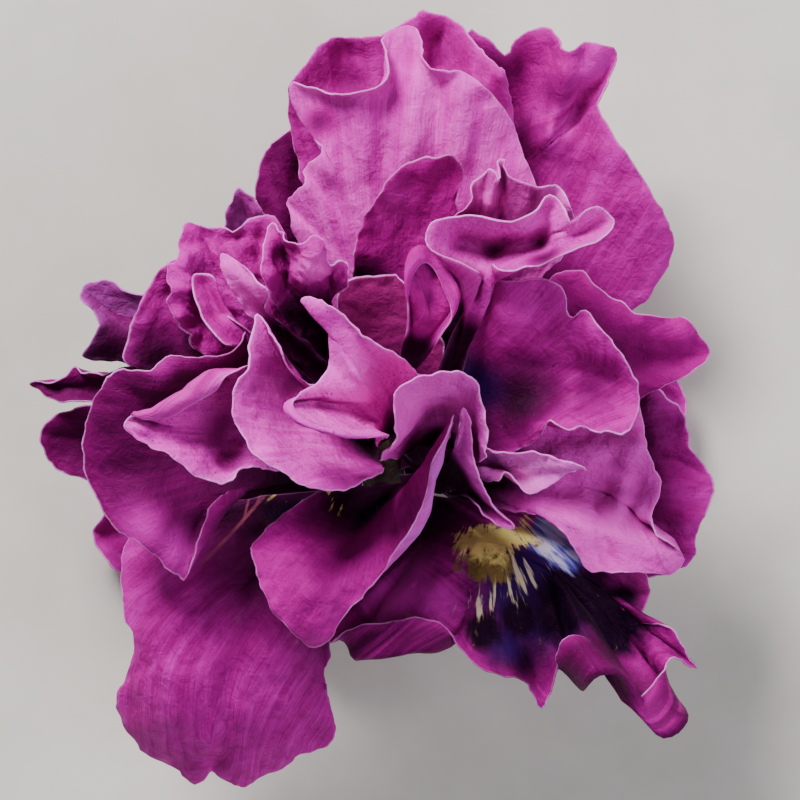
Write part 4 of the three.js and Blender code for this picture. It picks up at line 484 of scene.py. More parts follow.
def unit(v):
    return v / np.maximum(np.linalg.norm(v, axis=-1, keepdims=True), 1e-9)


def dots(a, b):
    return np.sum(a * b, axis=-1, keepdims=True)


def ease(value, low, high):
    """0 up to low and 1 from high on, with a smooth change between them."""
    t = np.clip((value - low) / (high - low), 0, 1)
    return t * t * (3 - 2 * t)


def fractal(point, size, seed, octaves=3):
    """Smooth noise about 0 at a point; each octave is half as large and half as strong."""
    total, weight = 0.0, 1.0
    for k in range(octaves):
        where = Vector(point) * (2**k / size) + Vector((seed, seed * 1.7, -seed))
        total += weight * noise.noise(where)
        weight *= 0.5
    return total


def curve_through(points):
    """A smooth curve through the points, and the share of its length at each step."""
    p = np.vstack([2 * points[0] - points[1], points, 2 * points[-1] - points[-2]])
    t = (np.arange(CURVE_STEPS) / CURVE_STEPS)[:, None]
    parts = []
    for a, b, c, d in zip(p, p[1:], p[2:], p[3:]):
        parts.append(0.5 * (2 * b + (c - a) * t + (2 * a - 5 * b + 4 * c - d) * t**2
                            + (3 * b - a - 3 * c + d) * t**3))
    path = np.vstack(parts + [points[-1:]])
    step = np.linalg.norm(np.diff(path[:, :3], axis=0), axis=1)
    share = np.r_[0, np.cumsum(step)]
    return path, share / share[-1]


def sample(path, share, at):
    return np.stack([np.interp(at, share, column) for column in path.T], axis=-1)


def averaged(samples, spread):
    """The rim with its waves averaged out; both ends stay where they are."""
    reach = int(3 * spread)
    before = 2 * samples[0] - samples[1:reach + 1][::-1]
    after = 2 * samples[-1] - samples[-reach - 1:-1][::-1]
    longer = np.vstack([before, samples, after])
    weight = np.exp(-0.5 * (np.arange(-reach, reach + 1) / spread) ** 2)
    weight /= weight.sum()
    return np.stack([np.convolve(c, weight, "valid") for c in longer.T], axis=-1)


def fold_lift(folds, x, y):
    """How far the folds, each [x0, y0, x1, y1, width, rise], lift a petal at x, y."""
    total = np.zeros_like(x)
    for x0, y0, x1, y1, width, rise in folds:
        dx, dy = x1 - x0, y1 - y0
        t = np.clip(((x - x0) * dx + (y - y0) * dy) / (dx * dx + dy * dy), 0, 1)
        away = np.hypot(x - x0 - dx * t, y - y0 - dy * t)
        total += rise * np.exp(-((away / width) ** 2))
    return total


def roll_shift(into, bent, radius):
    """How far outwards and upwards a roll shifts the skin: bent round a cylinder of that radius,
    then straight on."""
    turn = np.minimum(into, bent) / radius
    rest = np.maximum(into - bent, 0)
    return (radius * np.sin(turn) + rest * np.cos(turn) - into,
            radius * (1 - np.cos(turn)) + rest * np.sin(turn))


def petal_lines(petal):
    """The midrib's curve and, from one side of the claw round to the other, the rim's; each with
    the shares of its length. Last, the share of the rim at which the petal's tip is."""
    middle, radius = (UPPER, UPPER_RADIUS) if petal.get("upper") else (CROWN, CLAW_RADIUS)
    drawn = np.array(petal["spine"], float)
    start = unit(drawn[0] - middle)
    base = middle + radius * start
    rim = np.array([list(r) + [0] * (4 - len(r)) for r in petal["rim"]], float)
    wide = rim[0, :3] - rim[-1, :3]
    side = unit(wide - start * (wide @ start)) * petal.get("claw", CLAW_HALF)
    ends = [np.r_[base + side, 0], np.r_[base - side, 0]]
    edge, edge_share = curve_through(np.vstack([ends[0], rim, ends[1]]))
    tip = edge_share[(petal["tip"] + 1) * CURVE_STEPS]
    return curve_through(np.vstack([base, drawn])), (edge, edge_share), tip


def rib_normals(across, ahead):
    """The petal's upper side at each row; a row too short to tell takes that of the row before."""
    normal = unit(np.cross(across, ahead))
    for i in range(1, len(normal)):
        if np.linalg.norm(across[i]) < 0.3:
            normal[i] = normal[i - 1]
    return -normal if normal[:, 2].mean() < 0 else normal


def half_ribs(petal, origin, ahead, across, normal, wavy, smooth, columns):
    """The ribs from the midrib to one rim, and how far along them their points are. They set out
    sideways and, once rolled, end on the wavy rim."""
    reach = smooth - origin
    slope = across + ahead * dots(reach, ahead)
    goal, roll = wavy[:, :3], np.radians(wavy[:, 3:4])
    turned = np.abs(roll) > 0.01
    out = unit(goal - origin)
    up = unit(normal - out * dots(normal, out))
    curl, back = petal.get("curl", ROLL_LENGTH), petal.get("back", 0.0)
    most = ROLL_SHARE * np.linalg.norm(goal - origin, axis=1)
    length = np.minimum(curl + back, most)[:, None]
    bent = length - length * back / (curl + back)
    radius = bent / np.maximum(np.abs(roll), 0.01)
    outwards, upwards = roll_shift(length, bent, radius)
    sense = turned * np.sign(roll)
    goal = goal - turned * out * outwards - sense * up * upwards
    t = ((np.arange(columns + 1) / columns) ** BUNCHING)[None, :, None]
    rib = (origin[:, None] + slope[:, None] * t + (reach - slope)[:, None] * t**2
           + (goal - smooth)[:, None] * t ** petal.get("decay", WAVE_DECAY))
    run = np.cumsum(np.linalg.norm(np.diff(rib, axis=1), axis=2), axis=1)
    run = np.hstack([np.zeros((len(run), 1)), run])
    into = np.clip(run - (run[:, -1:] - length), 0, length)
    outwards, upwards = roll_shift(into, bent, radius)
    rib = rib + (turned[:, None] * out[:, None] * outwards[..., None]
                 + sense[:, None] * up[:, None] * upwards[..., None])
    return rib, run


def petal_grid(petal, columns):
    """The middle surface: rows from the claw to the tip, columns from rim to midrib to rim.
    Returns the points and, for each, its flat place (across, along) and distance from the rim."""
    spine, edge, tip = petal_lines(petal)
    evenly = np.linspace(0, 1, RIM_SAMPLES + 1)
    edge = sample(*edge, evenly)
    calm = averaged(edge[:, :3], SMOOTHING * RIM_SAMPLES)
    f = np.linspace(0, 1, ROWS + 1)
    left, right = tip * f, 1 - (1 - tip) * f
    origin = sample(*spine, f)
    ahead = unit(sample(*spine, f + 0.01) - sample(*spine, f - 0.01))
    across = (sample(calm, evenly, right) - sample(calm, evenly, left)) / 2
    across -= ahead * dots(across, ahead)
    normal = rib_normals(across, ahead)
    step = np.linalg.norm(np.diff(origin, axis=0), axis=1)
    run_up = np.r_[0, np.cumsum(step)]
    points = np.zeros((ROWS + 1, 2 * columns + 1, 3))
    flat = np.zeros((ROWS + 1, 2 * columns + 1, 2))
    rim_mm = np.zeros((ROWS + 1, 2 * columns + 1))
    for sign, at in ((-1, left), (1, right)):
        wavy, smooth = sample(edge, evenly, at), sample(calm, evenly, at)
        rib, run = half_ribs(petal, origin, ahead, sign * across, normal, wavy, smooth, columns)
        forward = dots(rib - origin[:, None], ahead[:, None])[..., 0]
        sideways = np.sqrt(np.maximum(run**2 - forward**2, 0))
        where = columns + sign * np.arange(columns + 1)
        points[:, where] = rib
        flat[:, where, 0] = sign * sideways
        flat[:, where, 1] = run_up[:, None] + forward
        rim_mm[:, where] = run[:, -1:] - run
    points[..., 2] += fold_lift(petal.get("folds", []), points[..., 0], points[..., 1])
    points[..., 2] = np.maximum(points[..., 2], petal.get("floor", 0.0))
    return points, flat, rim_mm


def grid_normals(points, columns):
    """Unit normals of a petal's grid; its last row is shared by both of its halves."""
    along = np.gradient(points, axis=0)
    across = np.gradient(points, axis=1)
    normal = unit(np.cross(across, along))
    normal[-1] = unit(normal[-2] + normal[-2, ::-1])
    normal[-1, columns] = unit(normal[-2, columns - 1] + normal[-2, columns + 1])
    return normal


def srgb(red, green, blue):
    def linear(c):
        c /= 255
        return c / 12.92 if c <= 0.04045 else ((c + 0.055) / 1.055) ** 2.4
    return (linear(red), linear(green), linear(blue), 1.0)


class Shader:
    """One node material; values may be numbers, colours or sockets."""

    def __init__(self, name):
        self.material = bpy.data.materials.new(name)
        self.material.use_nodes = True
        self.tree = self.material.node_tree
        self.tree.nodes.clear()

    def node(self, kind, values=(), **settings):
        node = self.tree.nodes.new(kind)
        for key, value in settings.items():
            setattr(node, key, value)
        for key, value in dict(values).items():
            self.put(node.inputs[key], value)
        return node

    def put(self, socket, value):
        if isinstance(value, bpy.types.NodeSocket):
            self.tree.links.new(value, socket)
        else:
            socket.default_value = value

    def attributes(self, *names):
        """What to_mesh has kept on the vertices under these names; 0 where it has kept nothing."""
        nodes = [self.node("ShaderNodeAttribute", attribute_name=name) for name in names]
        return [node.outputs["Fac"] for node in nodes]

    def place(self):
        return self.node("ShaderNodeTexCoord").outputs["Object"]

    def math(self, operation, *values):
        return self.node("ShaderNodeMath", enumerate(values), operation=operation).outputs[0]

    def times(self, a, b):
        return self.math("MULTIPLY", a, b)

    def plus(self, a, b):
        return self.math("ADD", a, b)

    def minus(self, a, b):
        return self.math("SUBTRACT", a, b)

    def fade(self, value, low, high, start=0.0, end=1.0):
        """start where the value is low, end where it is high, and a smooth change between."""
        values = {"Value": value, "From Min": low, "From Max": high, "To Min": start, "To Max": end}
        return self.node("ShaderNodeMapRange", values, interpolation_type="SMOOTHSTEP").outputs[0]

    def mix(self, factor, a, b):
        return self.node("ShaderNodeMix", {0: factor, 6: a, 7: b}, data_type="RGBA").outputs[2]

    def noise(self, vector, scale, detail=3.0, roughness=0.5, distortion=0.0):
        values = {"Vector": vector, "Scale": scale, "Detail": detail, "Roughness": roughness,
                  "Distortion": distortion}
        return self.node("ShaderNodeTexNoise", values).outputs["Fac"]

    def stretched(self, x, y, often, *rest, seed=0.0):
        """Noise that repeats so often along x and y, for streaks: long where the second is low."""
        values = {0: self.times(x, often[0]), 1: self.times(y, often[1]), 2: seed}
        return self.noise(self.node("ShaderNodeCombineXYZ", values).outputs[0], 1.0, *rest)

    def vectors(self, operation, a, b):
        return self.node("ShaderNodeVectorMath", {0: a, 1: b}, operation=operation).outputs

    def line(self, x0, y0, x1, y1, width):
        """1 on the straight line between two places of the drawing, 0 at its width away."""
        length = math.hypot(x1 - x0, y1 - y0)
        ahead = ((x1 - x0) / length, (y1 - y0) / length, 0.0)
        start = ((x0 - CENTRE[0]) * MM, (y0 - CENTRE[1]) * MM, 0.0)
        offset = self.vectors("SUBTRACT", self.place(), start)[0]
        aside = self.vectors("DOT_PRODUCT", offset, (-ahead[1], ahead[0], 0.0))["Value"]
        run = self.vectors("DOT_PRODUCT", offset, ahead)["Value"]
        near = self.fade(self.math("ABSOLUTE", aside), 0.3 * width * MM, width * MM, 1.0, 0.0)
        begun = self.fade(run, -MM, 2 * MM)
        ended = self.fade(run, (length - 2) * MM, (length + 1) * MM, 1.0, 0.0)
        return self.times(near, self.times(begun, ended))

    def bump(self, height, distance, strength):
        values = {"Height": height, "Distance": distance, "Strength": strength}
        return self.node("ShaderNodeBump", values).outputs[0]

    def finish(self, colour, roughness, normal, **constants):
        values = {"Base Color": colour, "Roughness": roughness, "Normal": normal}
        values.update({key.replace("_", " "): value for key, value in constants.items()})
        shader = self.node("ShaderNodeBsdfPrincipled", values)
        self.node("ShaderNodeOutputMaterial", {"Surface": shader.outputs[0]})
        return self.material


# The colour of the painted light on the flap.
PAINTED_LIGHT_PINK = srgb(250, 120, 224)
PALE = srgb(238, 80, 210)
PINK = srgb(206, 34, 178)
ROSE = srgb(186, 14, 152)
MID = srgb(168, 0, 134)
PLUM = srgb(126, 0, 100)
DEEP = srgb(82, 0, 64)
WINE = srgb(84, 0, 66)
# Painted shade: the near black of the deepest nooks and spots of shade.
DARK = srgb(26, 0, 20)
# The thread along the rim: its own paler colour with painted light from the thin edge.
RIM = srgb(244, 158, 242)
LILAC = srgb(200, 90, 204)
MAUVE = srgb(132, 22, 98)
MIDRIB = srgb(140, 66, 90)
INK = srgb(10, 0, 18)
VIOLET = srgb(36, 4, 70)
SKY = srgb(70, 66, 170)
HAZE = srgb(188, 182, 220)
OLIVE = srgb(230, 210, 122)
BROWN = srgb(74, 38, 10)
VEIN_WHITE = srgb(206, 188, 168)
GREENS = srgb(92, 118, 58), srgb(136, 160, 92)
GREEN_SPECK = srgb(70, 92, 44)
GREEN_FLUSH = srgb(112, 52, 84)
CUT_GREEN = srgb(178, 190, 130)
BRACT_GREENS = srgb(112, 124, 66), srgb(150, 156, 96)
BRACT_BROWNS = srgb(134, 104, 64), srgb(188, 162, 112)
# Near black: the receptacle darkened with painted shade, deep under the petals.
FLESH = srgb(24, 3, 14), srgb(58, 22, 14)
TABLE_GREYS = srgb(206, 202, 196), srgb(214, 210, 205)

# How often the patterns repeat: in a metre,
SKIN, CLOTH, SPECKS, UNEVEN, BLOTCH = 560.0, 150.0, 2600.0, 95.0, 520.0
STEM_MOTTLE, BRACT_FIBRE, FLESH_MOTTLE, TABLE_GRAIN = 500.0, 900.0, 700.0, 60.0
# and, where they are streaks, in a radian round the place that they run out from and in a
# millimetre of their length (or in the whole of it, on a bract).
VEINS, FINE_VEINS, COMB = (26.0, 0.035), (95.0, 0.09), (15.0, 0.12)
STEM_STREAKS, BRACT_LINES = (9.0, 0.12), (22.0, 1.5)
VEIN_ROOT = 16.0  # how far behind a petal's root its veins would meet


def petal_material(name, seed, look):
    """Silky petal: fanning veins, a crumpled skin, a paler rim and a darker throat, partly painted
    shade; with painted shade in spots and nooks and painted light in spots.
    """
    main, light, deep, back = look["colours"]
    streak = look["streak"]
    s = Shader("silk_" + name)
    across, along, rim, front = s.attributes("across_mm", "along_mm", "rim_mm", "front")
    # Painted shade (with the throat), painted light, and how closed in each place is, for the painted
    # shade in the nooks.
    shade, painted_light, closed = s.attributes("shade", "painted_light", "closed")
    from_root = s.plus(along, VEIN_ROOT)
    angle = s.math("ARCTAN2", across, from_root)
    radius = s.math("SQRT", s.plus(s.times(across, across), s.times(from_root, from_root)))
    broad = s.stretched(angle, radius, VEINS, 3.0, 0.6, 0.4, seed=seed)
    fine = s.stretched(angle, radius, FINE_VEINS, 2.0, 0.55, 0.3, seed=seed + 3.0)
    vein = s.fade(s.math("ABSOLUTE", s.minus(fine, 0.5)), 0.0, 0.07, 1.0, 0.0)
    place = s.place()
    skin = s.noise(place, SKIN, 5.0, 0.62, 0.5)
    cloth = s.noise(place, CLOTH, 3.0, 0.5, 0.2)
    specks = s.noise(place, SPECKS, 2.0, 0.5)

    # The upper side, the underside, and what lies over both of them: painted light, painted shade,
    # midribs and a fall's signal.
    colour = s.mix(s.fade(broad, 0.36, 0.7, 0.0, 0.8), main, light)
    colour = s.mix(s.times(s.fade(cloth, 0.4, 0.75), 0.45), colour, main)
    colour = s.mix(s.times(vein, 0.35 * streak), colour, deep)
    # Deeper in colour in the skin's small creases and lighter on its ridges: painted shade and
    # highlight on the crumples.
    colour = s.mix(s.fade(skin, 0.5, 0.7, 0.0, 0.3), colour, deep)
    colour = s.mix(s.fade(skin, 0.46, 0.3, 0.0, 0.3), colour, light)
    colour = s.mix(s.times(s.fade(specks, 0.6, 0.7), look["speckle"]), colour, deep)
    under = s.mix(s.times(s.fade(broad, 0.4, 0.7), 0.5), back, light)
    under = s.mix(s.times(vein, 0.35 * streak), under, main)
    colour = s.mix(front, under, colour)
    # Painted light in its spots; then painted shade, first deep and then near black: in the nooks
    # between the petals (less where light is painted), in the shade spots and in the throat, which is
    # also its own deeper colour.
    colour = s.mix(painted_light, colour, look["bright"] or light)
    nook = s.times(s.fade(closed, 0.25, 0.95, 0.0, 0.8), s.minus(1.0, painted_light))
    painted_shade = s.math("MAXIMUM", shade, nook)
    colour = s.mix(s.fade(painted_shade, 0.0, 0.6, 0.0, 0.85), colour, deep)
    colour = s.mix(s.fade(painted_shade, 0.4, 1.0), colour, DARK)
    for line in look["lines"]:
        drawn = s.times(s.line(*line), s.fade(cloth, 0.3, 0.6, 0.3, 0.8))
        colour = s.mix(drawn, colour, MIDRIB)
    if look["marks"]:
        colour = s.mix(front, colour, fall_marks(s, colour, seed))

    # The rim: a soft paler band, and a thread of light along the very edge. Both are partly the rim's
    # own paler colour and partly painted light from the thin edge, and both fade in the painted shade.
    lit = s.fade(painted_shade, 0.2, 0.9, 1.0, 0.15)
    uneven = s.fade(s.noise(place, UNEVEN, 2.0, 0.6), 0.36, 0.6, 0.35, 1.0)
    band = s.times(s.fade(rim, 0.2, 2.6, 0.3, 0.0), lit)
    colour = s.mix(band, colour, light)
    thread = s.fade(s.plus(rim, s.times(cloth, 0.3)), 0.1, 0.34, look["edge"], 0.0)
    colour = s.mix(s.times(s.times(thread, lit), uneven), colour, RIM)
    height = s.plus(s.times(skin, -1.0 - look["crumple"]), s.times(vein, -0.1 * streak))
    height = s.plus(height, s.times(broad, 0.5 * streak))
    return s.finish(colour, s.fade(skin, 0.3, 0.8, 0.5, 0.68), s.bump(height, 0.0006, 0.6),
                    Subsurface_Weight=0.1, Subsurface_Scale=0.0012,
                    Subsurface_Radius=(1.0, 0.25, 0.7), Sheen_Weight=0.02, Sheen_Roughness=0.35,
                    Sheen_Tint=(1.0, 0.35, 0.85, 1.0), Specular_IOR_Level=0.14,
                    Specular_Tint=(1.0, 0.3, 0.86, 1.0))


def fall_marks(s, colour, seed):
    """The signal at a fall's throat: mottled olive, pale fingers fanning out of it, then violet."""
    olive, white, sky, violet, ink = s.attributes("olive", "white", "sky", "violet", "ink")
    turn, run = s.attributes("fan_turn", "fan_mm")
    comb = s.stretched(turn, run, COMB, 3.0, 0.6, 0.4, seed=seed + 9.0)
    streak = s.times(s.minus(comb, 0.5), s.fade(run, 4.5, 9.5, 0.25, 1.0))
    blotch = s.noise(s.place(), BLOTCH, 3.0, 0.65, 0.5)

    def streaked(value, share, low, high, most=1.0):
        """The mark's value, broken up by the streaks; nothing where there is no mark."""
        broken = s.fade(s.math("MULTIPLY_ADD", streak, share, value), low, high, 0.0, most)
        return s.times(broken, s.fade(value, 0.02, 0.2))

    colour = s.mix(s.fade(violet, 0.1, 0.75), colour, VIOLET)
    colour = s.mix(streaked(ink, 0.6, 0.2, 0.65), colour, INK)
    colour = s.mix(streaked(sky, 1.2, 0.25, 0.6), colour, SKY)
    colour = s.mix(streaked(sky, 2.2, 0.4, 0.85, 0.9), colour, HAZE)
    patchy = s.math("MULTIPLY_ADD", s.minus(blotch, 0.5), 0.9, olive)
    dusk = s.math("MULTIPLY_ADD", blotch, 1.4, s.fade(run, 8.5, 13.5, -0.25, 0.5))
    golden = s.mix(s.fade(dusk, 0.6, 1.05, 0.0, 0.85), OLIVE, BROWN)
    colour = s.mix(streaked(patchy, 1.8, 0.3, 0.55), colour, golden)
    pale = s.mix(s.fade(blotch, 0.5, 0.75, 0.0, 0.6), VEIN_WHITE, OLIVE)
    return s.mix(streaked(white, 3.4, 0.5, 0.85, 0.9), colour, pale)


def green_material():
    s = Shader("stem_green")
    turn, along, cut = s.attributes("turn", "along_mm", "cut")
    streaks = s.stretched(turn, along, STEM_STREAKS, 3.0, 0.5, 0.2)
    mottle = s.noise(s.place(), STEM_MOTTLE, 4.0, 0.6, 0.3)
    colour = s.mix(s.fade(streaks, 0.35, 0.65), *GREENS)
    colour = s.mix(s.times(s.fade(mottle, 0.45, 0.7), 0.5), colour, GREEN_SPECK)
    colour = s.mix(s.fade(along, 5.0, 16.0, 0.7, 0.0), colour, GREEN_FLUSH)
    colour = s.mix(cut, colour, CUT_GREEN)
    normal = s.bump(s.plus(streaks, s.times(mottle, 0.4)), 0.0005, 0.7)
    return s.finish(colour, s.fade(mottle, 0.3, 0.7, 0.4, 0.6), normal, Subsurface_Weight=0.08,
                    Subsurface_Scale=0.001, Specular_IOR_Level=0.4)


def paper_material():
    s = Shader("bract_paper")
    across, tip = s.attributes("across", "tip")
    lines = s.stretched(across, tip, BRACT_LINES, 3.0, 0.6, 0.2)
    fibre = s.noise(s.place(), BRACT_FIBRE, 4.0, 0.6, 0.3)
    green = s.mix(s.fade(lines, 0.35, 0.65), *BRACT_GREENS)
    brown = s.mix(s.fade(lines, 0.35, 0.65), *BRACT_BROWNS)
    colour = s.mix(s.fade(s.plus(tip, s.times(fibre, 0.4)), 0.35, 0.95), green, brown)
    normal = s.bump(s.plus(lines, s.times(fibre, 0.5)), 0.0005, 0.8)
    return s.finish(colour, s.fade(fibre, 0.3, 0.7, 0.55, 0.8), normal, Specular_IOR_Level=0.3,
                    Sheen_Weight=0.1)


def flesh_material():
    s = Shader("receptacle_flesh")
    mottle = s.noise(s.place(), FLESH_MOTTLE, 4.0, 0.6, 0.4)
    # Painted shade: near black, deep under the petals.
    colour = s.mix(s.fade(mottle, 0.35, 0.65), *FLESH)
    return s.finish(colour, s.fade(mottle, 0.3, 0.7, 0.5, 0.7), s.bump(mottle, 0.0005, 0.8))


def table_material():
    s = Shader("table_paper")
    grain = s.noise(s.place(), TABLE_GRAIN, 4.0, 0.6)
    colour = s.mix(s.fade(grain, 0.3, 0.7), *TABLE_GREYS)
    return s.finish(colour, 0.85, s.bump(grain, 0.0003, 0.3))


# Petal colours: main, light, deep, and on the underside.
# A petal's set, here or in LOOKS, also follows the light: the lighter for petals facing the lamp, the
# darker for petals turned from it, painted light and shade over their own colour.
BRIGHT = PINK, PALE, PLUM, MID
BRIGHT_BOTH = PINK, PALE, PLUM, PINK
RICH = MID, PINK, WINE, MID
MELLOW = MID, PINK, PLUM, MID
SHADED = MID, PINK, WINE, PLUM
DUSKY = WINE, PLUM, WINE, PLUM

